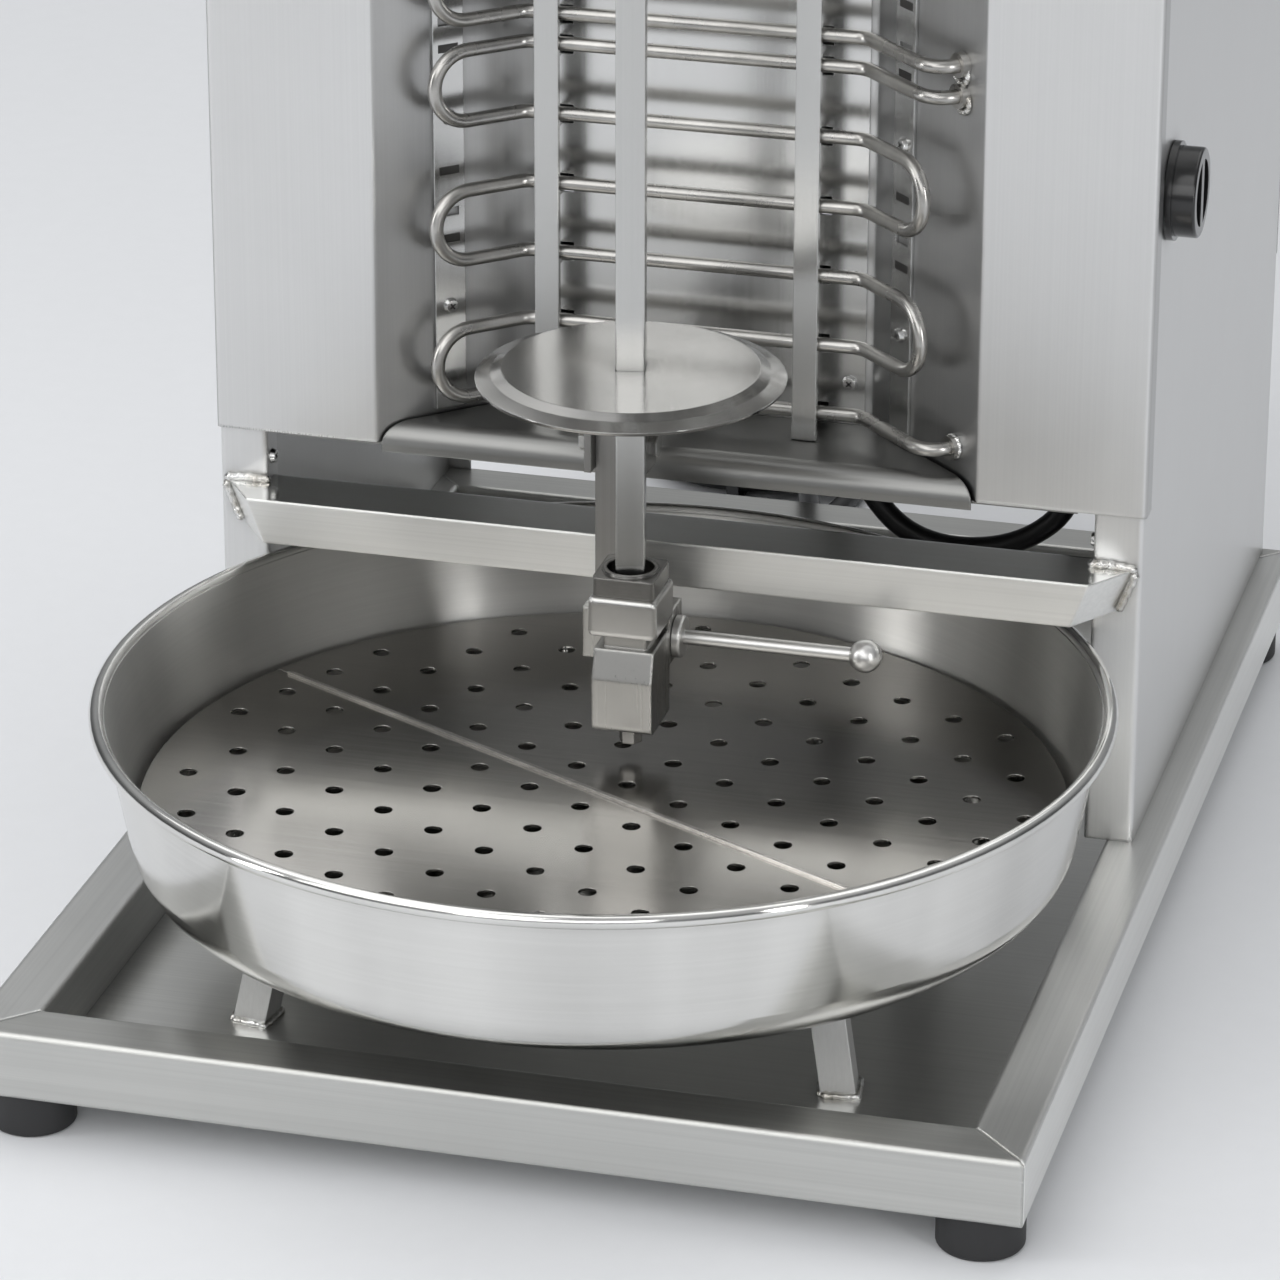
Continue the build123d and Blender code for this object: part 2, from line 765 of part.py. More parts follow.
arm_depth = arm_rear - arm_front
with BuildPart() as top_arm:
    with BuildSketch(Plane.XY.offset(arm_foot)):
        with Locations((0, arm_front + arm_depth / 2)):
            Rectangle(arm_width, arm_depth)
    extrude(amount=arm_height)
    fillet(top_arm.edges().filter_by(Axis.Z), arm_edge)
    fillet(top_arm.edges().group_by(Axis.Z)[-1], arm_edge)
    with BuildSketch(Plane.XY.offset(arm_foot + arm_wall)):
        with Locations((0, arm_front + arm_depth / 2)):
            Rectangle(arm_width - 2 * arm_wall, arm_depth - 2 * arm_wall)
    extrude(amount=arm_height - 2 * arm_wall, mode=Mode.SUBTRACT)
    with BuildSketch(Plane.XY.offset(arm_foot - overrun)):
        with Locations((0, skewer_y)):
            Circle(shaft_hole_radius)
    extrude(amount=arm_wall + 2 * overrun, mode=Mode.SUBTRACT)
keep(top_arm, "top_arm")

motor_foot = arm_foot + arm_wall
with BuildPart() as gear_motor:
    with BuildSketch(Plane(origin=(0, skewer_y, motor_foot))):
        Circle(motor_radius)
    extrude(amount=motor_height)
    with BuildSketch(Plane(origin=(0, skewer_y, motor_foot))):
        Circle(shaft_radius + run_gap)
    extrude(amount=shaft_engage + rest_gap, mode=Mode.SUBTRACT)
keep(gear_motor, "gear_motor")

turn = math.radians(skewer_turn)
skewer_x_dir = (math.cos(turn), math.sin(turn), 0)


def skewer_plane(height):
    """A level plane on the skewer's axis, turned with its square."""
    return Plane(origin=(0, skewer_y, height), x_dir=skewer_x_dir, z_dir=(0, 0, 1))


shaft_foot = socket_top - (socket_length - socket_depth) + rest_gap
with BuildPart() as drive_shaft:
    with BuildSketch(skewer_plane(shaft_foot)):
        Circle(shaft_radius)
    extrude(amount=motor_foot + shaft_engage - shaft_foot)
keep(drive_shaft, "drive_shaft")

with BuildPart() as drive_socket:
    with BuildSketch(skewer_plane(socket_foot)):
        Circle(socket_radius)
    extrude(amount=socket_length)
    chamfer(drive_socket.edges().filter_by(GeomType.CIRCLE), socket_edge)
    with BuildSketch(skewer_plane(socket_foot)):
        Rectangle(skewer_size + 2 * slip_gap, skewer_size + 2 * slip_gap)
    extrude(amount=socket_depth, mode=Mode.SUBTRACT)
    with BuildSketch(skewer_plane(socket_top)):
        Circle(shaft_radius + run_gap)
    extrude(amount=-(socket_length - socket_depth + overrun), mode=Mode.SUBTRACT)
keep(drive_socket, "drive_socket")

# Skewer with its pressed disc
with BuildPart() as skewer_bar:
    with BuildSketch(skewer_plane(skewer_foot)):
        RectangleRounded(skewer_size, skewer_size, skewer_corner)
    extrude(amount=skewer_top - skewer_foot)
    with BuildSketch(skewer_plane(skewer_foot)):
        Circle(tip_radius)
    extrude(amount=-tip_length)
keep(skewer_bar, "skewer_bar")

disc_axis = Axis((0, skewer_y, 0), (0, 0, 1))
disc_plane = Plane(origin=(0, skewer_y, 0), x_dir=(1, 0, 0), z_dir=(0, -1, 0))
with BuildPart() as skewer_disc:
    with BuildSketch(disc_plane):
        with BuildLine():
            Polyline((0, disc_height), (disc_radius * disc_flat_share, disc_height),
                     (disc_radius * disc_lip_share, disc_height - disc_dome / 2),
                     (disc_radius, disc_height - disc_dome))
            offset(amount=disc_sheet, side=Side.RIGHT)
        make_face()
    revolve(axis=disc_axis)
    with BuildSketch(skewer_plane(disc_height + overrun)):
        Rectangle(skewer_size + 2 * slip_gap, skewer_size + 2 * slip_gap)
    extrude(amount=-(disc_dome + disc_sheet + 2 * overrun), mode=Mode.SUBTRACT)
keep(skewer_disc, "skewer_disc")

# Lower bearing: housing, cup and thrust ball above the clamp block
with BuildPart() as bearing_housing:
    with BuildSketch(Plane(origin=(0, skewer_y, housing_foot))):
        Rectangle(housing_width, housing_depth)
    extrude(amount=housing_height)
    fillet(bearing_housing.edges(), housing_edge)
    with BuildSketch(Plane(origin=(0, skewer_y, housing_top))):
        Circle(tip_radius + run_gap)
    extrude(amount=-housing_bore_depth, mode=Mode.SUBTRACT)
keep(bearing_housing, "bearing_housing")

with BuildPart() as bearing_cup:
    with BuildSketch(Plane(origin=(0, skewer_y, housing_top))):
        RectangleRounded(cup_size, cup_size, cup_corner)
    extrude(amount=cup_height)
    with BuildSketch(Plane(origin=(0, skewer_y, housing_top + cup_height))):
        Circle(race_radius)
    extrude(amount=race_height)
    with BuildSketch(Plane(origin=(0, skewer_y, housing_top + cup_floor))):
        Circle(cup_recess_radius)
    extrude(amount=cup_height + race_height, mode=Mode.SUBTRACT)
    with BuildSketch(Plane(origin=(0, skewer_y, housing_top))):
        Circle(tip_radius + run_gap)
    extrude(amount=cup_height, mode=Mode.SUBTRACT)
keep(bearing_cup, "bearing_cup")

with BuildPart() as thrust_ball:
    with Locations((0, skewer_y, housing_top - housing_bore_depth + thrust_ball_radius)):
        Sphere(thrust_ball_radius)
keep(thrust_ball, "thrust_ball")

yoke_back = hanger_back + slip_gap + yoke_back_wall
block_back = skewer_y + housing_depth / 2
with BuildPart() as clamp_block:
    front_y = skewer_y - housing_depth / 2
    with BuildSketch(Plane.YZ):
        with BuildLine():
            Polyline((front_y, clamp_foot), (front_y, clamp_top - clamp_slope_height),
                     (front_y + clamp_slope_depth, clamp_top), (block_back, clamp_top), (block_back, clamp_foot),
                     close=True)
        make_face()
    extrude(amount=clamp_width / 2, both=True)
    fillet(clamp_block.edges().filter_by(Axis.X).group_by(Axis.Z)[0].sort_by(Axis.Y)[:1], clamp_corner)
    with BuildSketch(Plane(origin=(0, skewer_y, clamp_top))):
        Rectangle(clamp_width - 2 * neck_inset, housing_depth - 2 * neck_inset - clamp_slope_depth)
    extrude(amount=neck_height)
    with BuildSketch(Plane.XY.offset(housing_foot)):
        yoke_center = ((yoke_left + yoke_right) / 2, (block_back + yoke_back) / 2)
        with Locations(yoke_center):
            Rectangle(yoke_right - yoke_left, yoke_back - block_back)
        with Locations((hanger_middle, hanger_y)):
            Rectangle(hanger_width + 2 * slip_gap, hanger_thickness + 2 * slip_gap, mode=Mode.SUBTRACT)
    extrude(amount=-yoke_drop)
    with BuildSketch(Plane(origin=(yoke_right + overrun, hanger_y, screw_axis_z), z_dir=(-1, 0, 0))):
        Circle(clamp_shank_radius + run_gap)
    extrude(amount=yoke_right + overrun - hanger_left - hanger_width, mode=Mode.SUBTRACT)
keep(clamp_block, "clamp_block")

with BuildPart() as block_bolt:
    with BuildSketch(Plane(origin=(0, skewer_y, clamp_foot))):
        RegularPolygon(block_bolt_radius, 6)
    extrude(amount=-block_bolt_height)
keep(block_bolt, "block_bolt")

with BuildPart() as clamp_screw:
    screw_mouth = Plane(origin=(yoke_right + rest_gap, hanger_y, screw_axis_z), z_dir=(1, 0, 0))
    with BuildSketch(screw_mouth):
        Circle(washer_radius)
    extrude(amount=washer_thickness)
    fillet(clamp_screw.edges().group_by(Axis.X)[-1], washer_thickness / 3)
    with BuildSketch(screw_mouth):
        Circle(clamp_shank_radius)
    extrude(amount=-(yoke_right - hanger_left - hanger_width - slip_gap))
    with BuildSketch(screw_mouth.offset(washer_thickness)):
        Circle(rod_radius)
    extrude(amount=rod_length)
keep(clamp_screw, "clamp_screw")

rod_end = yoke_right + rest_gap + washer_thickness + rod_length
with BuildPart() as lever_ball:
    with Locations((rod_end + lever_ball_radius - rod_socket, hanger_y, screw_axis_z)):
        Sphere(lever_ball_radius)
    with BuildSketch(Plane(origin=(rod_end, hanger_y, screw_axis_z), z_dir=(-1, 0, 0))):
        Circle(rod_radius)
    extrude(amount=lever_ball_radius, mode=Mode.SUBTRACT)
keep(lever_ball, "lever_ball")

# Hanger bar, its pivot bolt and the bracket from the reflector
with BuildPart() as hanger_bar:
    with BuildSketch(Plane.XY.offset(hanger_foot)):
        with Locations((hanger_middle, hanger_y)):
            Rectangle(hanger_width, hanger_thickness)
    extrude(amount=pivot_height + hanger_head - hanger_foot)
    with BuildSketch(Plane(origin=(hanger_left - overrun, hanger_y, pivot_height), z_dir=(1, 0, 0))):
        Circle(pivot_radius + slip_gap)
    extrude(amount=hanger_width + 2 * overrun, mode=Mode.SUBTRACT)
keep(hanger_bar, "hanger_bar")

fork_top = pivot_height - fork_below_pivot + fork_height
fork_left = hanger_left - slip_gap - fork_sheet
fork_right = hanger_left + hanger_width + slip_gap
with BuildPart() as arm_bracket:
    with BuildSketch(Plane.XY.offset(pivot_height - fork_below_pivot)):
        with Locations(*[(left + fork_sheet / 2, hanger_y) for left in (fork_left, fork_right)]):
            Rectangle(fork_sheet, hanger_width)
    extrude(amount=fork_height)
    bridge_front = hanger_back + slip_gap
    fork_back = hanger_y + hanger_width / 2
    with BuildSketch(Plane.XY.offset(fork_top)):
        with Locations((hanger_middle, (bridge_front + fork_back) / 2)):
            Rectangle(fork_right + fork_sheet - fork_left, fork_back - bridge_front)
    extrude(amount=-strut_height)
    with BuildSketch(Plane.XY.offset(fork_top)):
        with Locations((hanger_middle, (bridge_front + reflector_y) / 2)):
            Rectangle(strut_width, reflector_y - bridge_front)
    extrude(amount=-strut_height)
    with BuildSketch(Plane.XZ.offset(-reflector_y)):
        with Locations((hanger_middle, fork_top - strut_height / 2)):
            Rectangle(bracket_flange_width, bracket_flange_height)
    extrude(amount=bracket_flange_sheet)
    with BuildSketch(Plane(origin=(fork_left - overrun, hanger_y, pivot_height), z_dir=(1, 0, 0))):
        Circle(pivot_radius + slip_gap)
    extrude(amount=fork_right + fork_sheet - fork_left + 2 * overrun, mode=Mode.SUBTRACT)
keep(arm_bracket, "arm_bracket")

with BuildPart() as pivot_bolt:
    for left, toward in ((fork_left, -1), (fork_right + fork_sheet, 1)):
        with BuildSketch(Plane(origin=(left, hanger_y, pivot_height), z_dir=(toward, 0, 0))):
            RegularPolygon(pivot_head_radius, 6)
        extrude(amount=pivot_head_height)
    with BuildSketch(Plane(origin=(fork_left, hanger_y, pivot_height), z_dir=(1, 0, 0))):
        Circle(pivot_radius)
    extrude(amount=fork_right + fork_sheet - fork_left)
keep(pivot_bolt, "pivot_bolt")


def knob(name, height):
    """A heat knob: skirt, round body, sunk face with a grip bar, and its stem."""
    face = Plane(origin=(side_half + knob_gap, knob_y, height), x_dir=(0, 1, 0), z_dir=(1, 0, 0))
    with BuildPart() as turned:
        with BuildSketch(face):
            Circle(knob_skirt_radius)
        extrude(amount=knob_skirt_depth)
        with BuildSketch(face.offset(knob_skirt_depth)):
            Circle(knob_radius)
        extrude(amount=knob_depth)
        fillet(turned.edges().group_by(Axis.X)[-1], knob_edge)
        with BuildSketch(face.offset(knob_skirt_depth + knob_depth)):
            Circle(knob_recess_radius)
            Rectangle(knob_grip_width, 2 * knob_recess_radius, mode=Mode.SUBTRACT)
        extrude(amount=-knob_recess_depth, mode=Mode.SUBTRACT)
        with BuildSketch(face):
            Circle(stem_radius)
        extrude(amount=-stem_reach)
    keep(turned, name)


for zone, height in zip(zone_names, knob_heights):
    knob(f"knob_{zone}", height)

with BuildPart() as heat_switches:
    switch_face = Plane(origin=(side_half - sheet, knob_y, 0), x_dir=(0, 1, 0), z_dir=(1, 0, 0))
    with BuildSketch(switch_face):
        with Locations(*[(0, height) for height in knob_heights]):
            Rectangle(switch_size, switch_size)
            Circle(stem_radius + run_gap, mode=Mode.SUBTRACT)
    extrude(amount=-switch_depth)
keep(heat_switches, "heat_switches")

# Motor rocker: a frame set in the side panel, and the rocker on its pin
rocker_z = knob_heights[-1]
rocker_face = Plane(origin=(side_half, rocker_y, rocker_z), x_dir=(0, 1, 0), z_dir=(1, 0, 0))
well_width = rocker_width + 2 * rocker_play
well_height = rocker_height + 2 * rocker_play
with BuildPart() as rocker_frame:
    with BuildSketch(rocker_face):
        Rectangle(well_width + 4 * bezel_border, well_height + 4 * bezel_border)
    extrude(amount=bezel_depth)
    fillet(rocker_frame.edges().group_by(Axis.X)[-1], bezel_depth / 3)
    with BuildSketch(rocker_face):
        Rectangle(well_width + 2 * rocker_box_wall, well_height + 2 * rocker_box_wall)
    extrude(amount=-rocker_box_depth)
    with BuildSketch(rocker_face.offset(bezel_depth)):
        Rectangle(well_width, well_height)
    extrude(amount=-(bezel_depth + rocker_box_depth - rocker_box_wall), mode=Mode.SUBTRACT)
    with BuildSketch(Plane(origin=(side_half - rocker_sink, rocker_y - well_width / 2, rocker_z),
                           z_dir=(0, 1, 0))):
        Circle(rocker_pin_radius)
    extrude(amount=well_width)
keep(rocker_frame, "rocker_frame")

with BuildPart() as motor_rocker:
    tilt = math.radians(rocker_tilt)
    rocker_pivot = Vector(side_half - rocker_sink, rocker_y, rocker_z)
    paddle = Plane(origin=rocker_pivot, x_dir=(math.sin(tilt), 0, math.cos(tilt)), z_dir=(0, 1, 0))
    with BuildSketch(paddle):
        Rectangle(rocker_height - 2 * rocker_play, rocker_thickness)
        Circle(rocker_pin_radius + run_gap, mode=Mode.SUBTRACT)
    extrude(amount=rocker_width / 2, both=True)
keep(motor_rocker, "motor_rocker")

# Terminal block on the floor of the body, gland under it
with BuildPart() as terminal_block:
    with BuildSketch(Plane.XY.offset(column_foot)):
        with Locations((terminal_x, terminal_y)):
            Rectangle(terminal_width, terminal_depth)
    extrude(amount=terminal_height)
    fillet(terminal_block.edges().filter_by(Axis.Z), bend)
keep(terminal_block, "terminal_block")

gland_top = column_foot - sheet
with BuildPart() as cable_gland:
    with BuildSketch(Plane(origin=(gland_x, gland_y, gland_top))):
        RegularPolygon(gland_radius, 6)
    extrude(amount=-gland_height)
    with BuildSketch(Plane(origin=(gland_x, gland_y, gland_top))):
        Circle(gland_thread_radius)
    extrude(amount=sheet + gland_nut_height)
    with BuildSketch(Plane(origin=(gland_x, gland_y, column_foot))):
        RegularPolygon(gland_radius, 6)
    extrude(amount=gland_nut_height)
    with BuildSketch(Plane(origin=(gland_x, gland_y, gland_top - gland_height))):
        Circle(gland_thread_radius)
    with BuildSketch(Plane(origin=(gland_x, gland_y, gland_top - gland_height - relief_length))):
        Circle(relief_end_radius)
    loft()
    with BuildSketch(Plane(origin=(gland_x, gland_y, column_foot + gland_nut_height + overrun))):
        Circle(cord_radius + slip_gap)
    bore_length = gland_nut_height + sheet + gland_height + relief_length + 2 * overrun
    extrude(amount=-bore_length, mode=Mode.SUBTRACT)
keep(cable_gland, "cable_gland")


def corner_radii(points, fill_share):
    """The largest even arc at every corner of a route, from its shorter run and its turn."""
    radii = []
    for before, corner, after in zip(points, points[1:], points[2:]):
        run_in = Vector(*corner) - Vector(*before)
        run_out = Vector(*after) - Vector(*corner)
        half_turn = math.radians(run_in.get_angle(run_out)) / 2
        radii.append(fill_share * min(run_in.length, run_out.length) / math.tan(half_turn))
    return radii


def compare_tube(name, solid, wire):
    """Print a tube's volume beside its section times its length."""
    expected = wire.length * math.pi * cord_radius ** 2
    print(f"{name}: volume {solid.volume:.0f}, section times length {expected:.0f}, length {wire.length:.0f}")


cord_radii = corner_radii(cord_route, cord_fill_share)
print("cord radii", [round(radius) for radius in cord_radii])
with BuildPart() as mains_cord:
    with BuildLine() as cord_line:
        FilletPolyline(*cord_route, radius=cord_radii)
    with BuildSketch(Plane(origin=cord_route[0], z_dir=Vector(*cord_route[1]) - Vector(*cord_route[0]))):
        Circle(cord_radius)
    sweep()
compare_tube("mains_cord", mains_cord.part, cord_line.wires()[0])
keep(mains_cord, "mains_cord")

# Coil behind the grill: in on the floor layer, up a layer in one half turn, out again on top
coil_start = Vector(*cord_route[-1])
half_turn_radii = [coil_radius - coil_step / 2 * number for number in range(coil_half_turns_in + 1)]
half_turn_radii += half_turn_radii[-2::-1] + [coil_radius + coil_step / 2]
with BuildPart() as cord_coil:
    with BuildLine() as coil_line:
        heading = Vector(0, 1, 0)
        here = coil_start + heading * coil_lead
        Line(coil_start, here)
        for number, radius in enumerate(half_turn_radii):
            climb = coil_step if number == coil_half_turns_in else 0
            across = Vector(-heading.Y, heading.X, 0) * (2 * radius) + Vector(0, 0, climb)
            middle = here + across / 2
            ThreePointArc(here, middle + heading * (across.length / 2), here + across)
            here = here + across
            heading = -heading
        coil_end = here + heading * coil_lead
        Line(here, coil_end)
    with BuildSketch(Plane(origin=coil_start, z_dir=(0, 1, 0))):
        Circle(cord_radius)
    sweep()
coil_wire = coil_line.wires()[0]
compare_tube("cord_coil", cord_coil.part, coil_wire)
keep(cord_coil, "cord_coil")


def least_self_gap(wire, radius, samples):
    """The least free space between turns of a tube, from points along its middle line."""
    spots = [wire.position_at(step / samples) for step in range(samples + 1)]
    skip = int(samples * 6 * radius / wire.length)
    return min(
        (spots[first] - spots[second]).length
        for first in range(len(spots)) for second in range(first + skip, len(spots))
    ) - 2 * radius


coil_samples = 600
print("coil least gap to itself", round(least_self_gap(coil_wire, cord_radius, coil_samples), 2))

# Tie round the coil's near side
coil_middle = coil_start + Vector(-coil_radius, coil_lead, 0)
tie_reach = (tie_width + coil_step) / 2
inner_turn = half_turn_radii[coil_half_turns_in - 1] - cord_radius - tie_gap
bundle_near = coil_middle.Y - half_turn_radii[-1] - cord_radius - tie_gap
bundle_far = coil_middle.Y - math.sqrt(inner_turn ** 2 - tie_reach ** 2)
bundle_foot = coil_start.Z - cord_radius - tie_gap
bundle_top = coil_start.Z + coil_step + cord_radius + tie_gap
with BuildPart() as coil_tie:
    with BuildSketch(Plane.YZ.offset(coil_middle.X - tie_width / 2)):
        with Locations(((bundle_near + bundle_far) / 2, (bundle_foot + bundle_top) / 2)):
            Rectangle(bundle_far - bundle_near + 2 * tie_sheet, bundle_top - bundle_foot + 2 * tie_sheet)
            Rectangle(bundle_far - bundle_near, bundle_top - bundle_foot, mode=Mode.SUBTRACT)
    extrude(amount=tie_width)
keep(coil_tie, "coil_tie")

# Plug at the coil's free end
plug_way = Plane(origin=coil_end, z_dir=heading)
with BuildPart() as plug_body:
    with BuildSketch(plug_way):
        Circle(plug_boot_radius)
    with BuildSketch(plug_way.offset(plug_boot_length)):
        Circle(plug_neck_radius)
    loft()
    with BuildSketch(plug_way.offset(plug_boot_length)):
        Circle(plug_radius)
    extrude(amount=plug_length)
    fillet(plug_body.edges().group_by(Axis.Y)[-1], plug_edge)
keep(plug_body, "plug_body")

with BuildPart() as plug_pins:
    with BuildSketch(plug_way.offset(plug_boot_length + plug_length)):
        with GridLocations(pin_spacing, 0, 2, 1):
            Circle(pin_radius)
    extrude(amount=pin_length)
    fillet(plug_pins.edges().group_by(Axis.Y)[-1], pin_radius / 2)
keep(plug_pins, "plug_pins")
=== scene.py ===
import math
import random

import bpy
from mathutils import Matrix, Vector


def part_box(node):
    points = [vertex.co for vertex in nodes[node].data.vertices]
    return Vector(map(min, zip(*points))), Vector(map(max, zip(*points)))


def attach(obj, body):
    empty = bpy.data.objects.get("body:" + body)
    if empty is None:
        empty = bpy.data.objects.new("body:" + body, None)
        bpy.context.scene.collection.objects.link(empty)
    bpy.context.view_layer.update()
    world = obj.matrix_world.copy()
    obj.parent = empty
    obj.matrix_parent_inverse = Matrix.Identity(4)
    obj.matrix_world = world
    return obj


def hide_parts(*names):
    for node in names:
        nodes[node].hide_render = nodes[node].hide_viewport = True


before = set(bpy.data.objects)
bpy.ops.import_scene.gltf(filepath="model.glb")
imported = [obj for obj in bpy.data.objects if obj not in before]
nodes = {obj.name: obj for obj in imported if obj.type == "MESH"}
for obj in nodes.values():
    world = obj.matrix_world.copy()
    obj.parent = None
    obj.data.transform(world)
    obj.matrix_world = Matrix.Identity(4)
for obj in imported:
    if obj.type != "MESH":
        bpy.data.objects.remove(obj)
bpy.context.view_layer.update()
scene = bpy.context.scene
skyward = Vector((0, 0, 1))

# Small helpers for shader trees
few_samples = 4


def add(tree, kind, sockets=None, **fields):
    """A new shader node: sockets holds values or links for its inputs, fields its own settings."""
    node = tree.nodes.new(kind)
    for field, value in fields.items():
        setattr(node, field, value)
    for socket, value in (sockets or {}).items():
        if isinstance(value, bpy.types.NodeSocket):
            tree.links.new(value, node.inputs[socket])
        else:
            node.inputs[socket].default_value = value
    return node


def blank(name):
    """A new material with its tree and its surface shader."""
    material = bpy.data.materials.new(name)
    material.use_nodes = True
    return material, material.node_tree, material.node_tree.nodes["Principled BSDF"]


def feed(tree, surface, colour, gloss, normal):
    """Links the shader's colour, roughness and normal."""
    for socket, value in {"Base Color": colour, "Roughness": gloss, "Normal": normal}.items():
        tree.links.new(value, surface.inputs[socket])


def object_place(tree):
    return add(tree, "ShaderNodeTexCoord").outputs["Object"]


def axis_of(tree, vector, letter):
    return add(tree, "ShaderNodeSeparateXYZ", {"Vector": vector}).outputs[letter]


def combined(tree, x, y, z=0.0):
    return add(tree, "ShaderNodeCombineXYZ", {"X": x, "Y": y, "Z": z}).outputs["Vector"]


def maths(tree, operation, first, second=0.0):
    return add(tree, "ShaderNodeMath", {0: first, 1: second}, operation=operation).outputs["Value"]


def total(tree, first, *others):
    for other in others:
        first = maths(tree, "ADD", first, other)
    return first


def vectors(tree, operation, first, second=(0.0, 0.0, 0.0)):
    """A vector operation: DOT_PRODUCT and LENGTH give a number, the others a vector."""
    outputs = add(tree, "ShaderNodeVectorMath", {0: first, 1: second}, operation=operation).outputs
    return outputs["Value" if operation in ("DOT_PRODUCT", "LENGTH") else "Vector"]


def spread(tree, value, low, high):
    """The value's 0 to 1, laid over low to high."""
    return add(tree, "ShaderNodeMapRange", {"Value": value, "To Min": low, "To Max": high}).outputs["Result"]


def both_ways(tree, value, middle, change):
    """The value's 0 to 1, laid evenly round the middle."""
    return spread(tree, value, middle - change, middle + change)


def ramp(tree, value, start, end, high=1.0, ease="LINEAR"):
    """Grows from 0 where the value is start to high where it is end, and is level beyond them."""
    sockets = {"Value": value, "From Min": start, "From Max": end, "To Max": high}
    return add(tree, "ShaderNodeMapRange", sockets, interpolation_type=ease).outputs["Result"]


def shaded(tree, value, first, last, *between):
    """A colour that runs through the stops, each a position from 0 to 1 and a colour."""
    node = add(tree, "ShaderNodeValToRGB", {"Fac": value})
    stops = node.color_ramp.elements
    for stop, (position, colour) in zip(stops, (first, last)):
        stop.position, stop.color = position, (*colour, 1.0)
    for position, colour in between:
        stops.new(position).color = (*colour, 1.0)
    return node.outputs["Color"]


def tinted(tree, colour, amount):
    """The colour, made darker or lighter by the amount, which is 1 where nothing changes."""
    if not isinstance(colour, bpy.types.NodeSocket):
        colour = (*colour, 1.0)
    return add(tree, "ShaderNodeHueSaturation", {"Color": colour, "Value": amount}).outputs["Color"]


def noise(tree, place, scale, detail, rough):
    sockets = {"Vector": place, "Scale": scale, "Detail": detail, "Roughness": rough}
    return add(tree, "ShaderNodeTexNoise", sockets).outputs["Fac"]


def softened(tree, edge):
    """Normals that turn smoothly over each edge, as a rounding of that radius would."""
    return add(tree, "ShaderNodeBevel", {"Radius": edge}, samples=few_samples).outputs["Normal"]


def bumped(tree, height, depth, normal=None):
    """The normal, or the face's own one, tilted by a relief that is depth metres high."""
    sockets = {"Height": height, "Distance": depth, "Strength": 1.0}
    if normal is not None:
        sockets["Normal"] = normal
    return add(tree, "ShaderNodeBump", sockets).outputs["Normal"]


# Steel with a grain
grain_detail, grain_rough = 3.0, 0.62
grain_stretch = 320
rings_broken = 2.4
grain_lines = {"x": (1.0, 0.03, 0.02), "y": (0.03, 1.0, 0.02), "z": (0.02, 0.03, 1.0)}
quarter_turn = 0.25
worn_from, worn_fully = 0.995, 0.90
# Edges get a brighter colour, partly as wear and partly as a painted highlight, and a lower roughness as wear
worn_highlight, worn_gloss = 0.10, 0.06
# Painted shade: ambient occlusion within this reach darkens the colour in crevices and gaps between parts
shade_reach, crevice_shade = 0.010, 0.45
gloss_change = 0.04
band_gloss = 0.3


def straight_grain(tree, place, along, fine):
    scale = [fine, fine, fine]
    scale["xyz".index(along)] = fine / grain_stretch
    stretched = add(tree, "ShaderNodeMapping", {"Vector": place, "Scale": scale}).outputs["Vector"]
    return noise(tree, stretched, 1.0, grain_detail, grain_rough)


def round_grain(tree, place, middle, fine):
    """Fine rings round an upright axis at middle, as spinning or turning leaves them."""
    moved = add(tree, "ShaderNodeMapping", {"Vector": place, "Location": (-middle[0], -middle[1], 0)})
    parts = add(tree, "ShaderNodeSeparateXYZ", {"Vector": moved.outputs["Vector"]}).outputs
    radius = vectors(tree, "LENGTH", combined(tree, parts["X"], parts["Y"]))
    bearing = maths(tree, "ARCTAN2", parts["Y"], parts["X"])
    rings = combined(
        tree,
        maths(tree, "MULTIPLY", radius, fine),
        maths(tree, "MULTIPLY", parts["Z"], fine),
        maths(tree, "MULTIPLY", bearing, rings_broken),
    )
    return noise(tree, rings, 1.0, grain_detail, grain_rough)


def spoke_from(tree, place, middle):
    """The level direction to each place from an upright axis at middle."""
    outward = vectors(tree, "SUBTRACT", place, (*middle, 0.0))
    return vectors(tree, "NORMALIZE", vectors(tree, "MULTIPLY", outward, (1.0, 1.0, 0.0)))


def comb(tree, surface, along, middle, amount):
    """Stretches highlights across the grain."""
    if middle:
        line = add(tree, "ShaderNodeTangent", direction_type="RADIAL", axis="Z").outputs["Tangent"]
    else:
        line = combined(tree, *grain_lines[along])
    tree.links.new(line, surface.inputs["Tangent"])
    surface.inputs["Anisotropic"].default_value = amount
    surface.inputs["Anisotropic Rotation"].default_value = quarter_turn


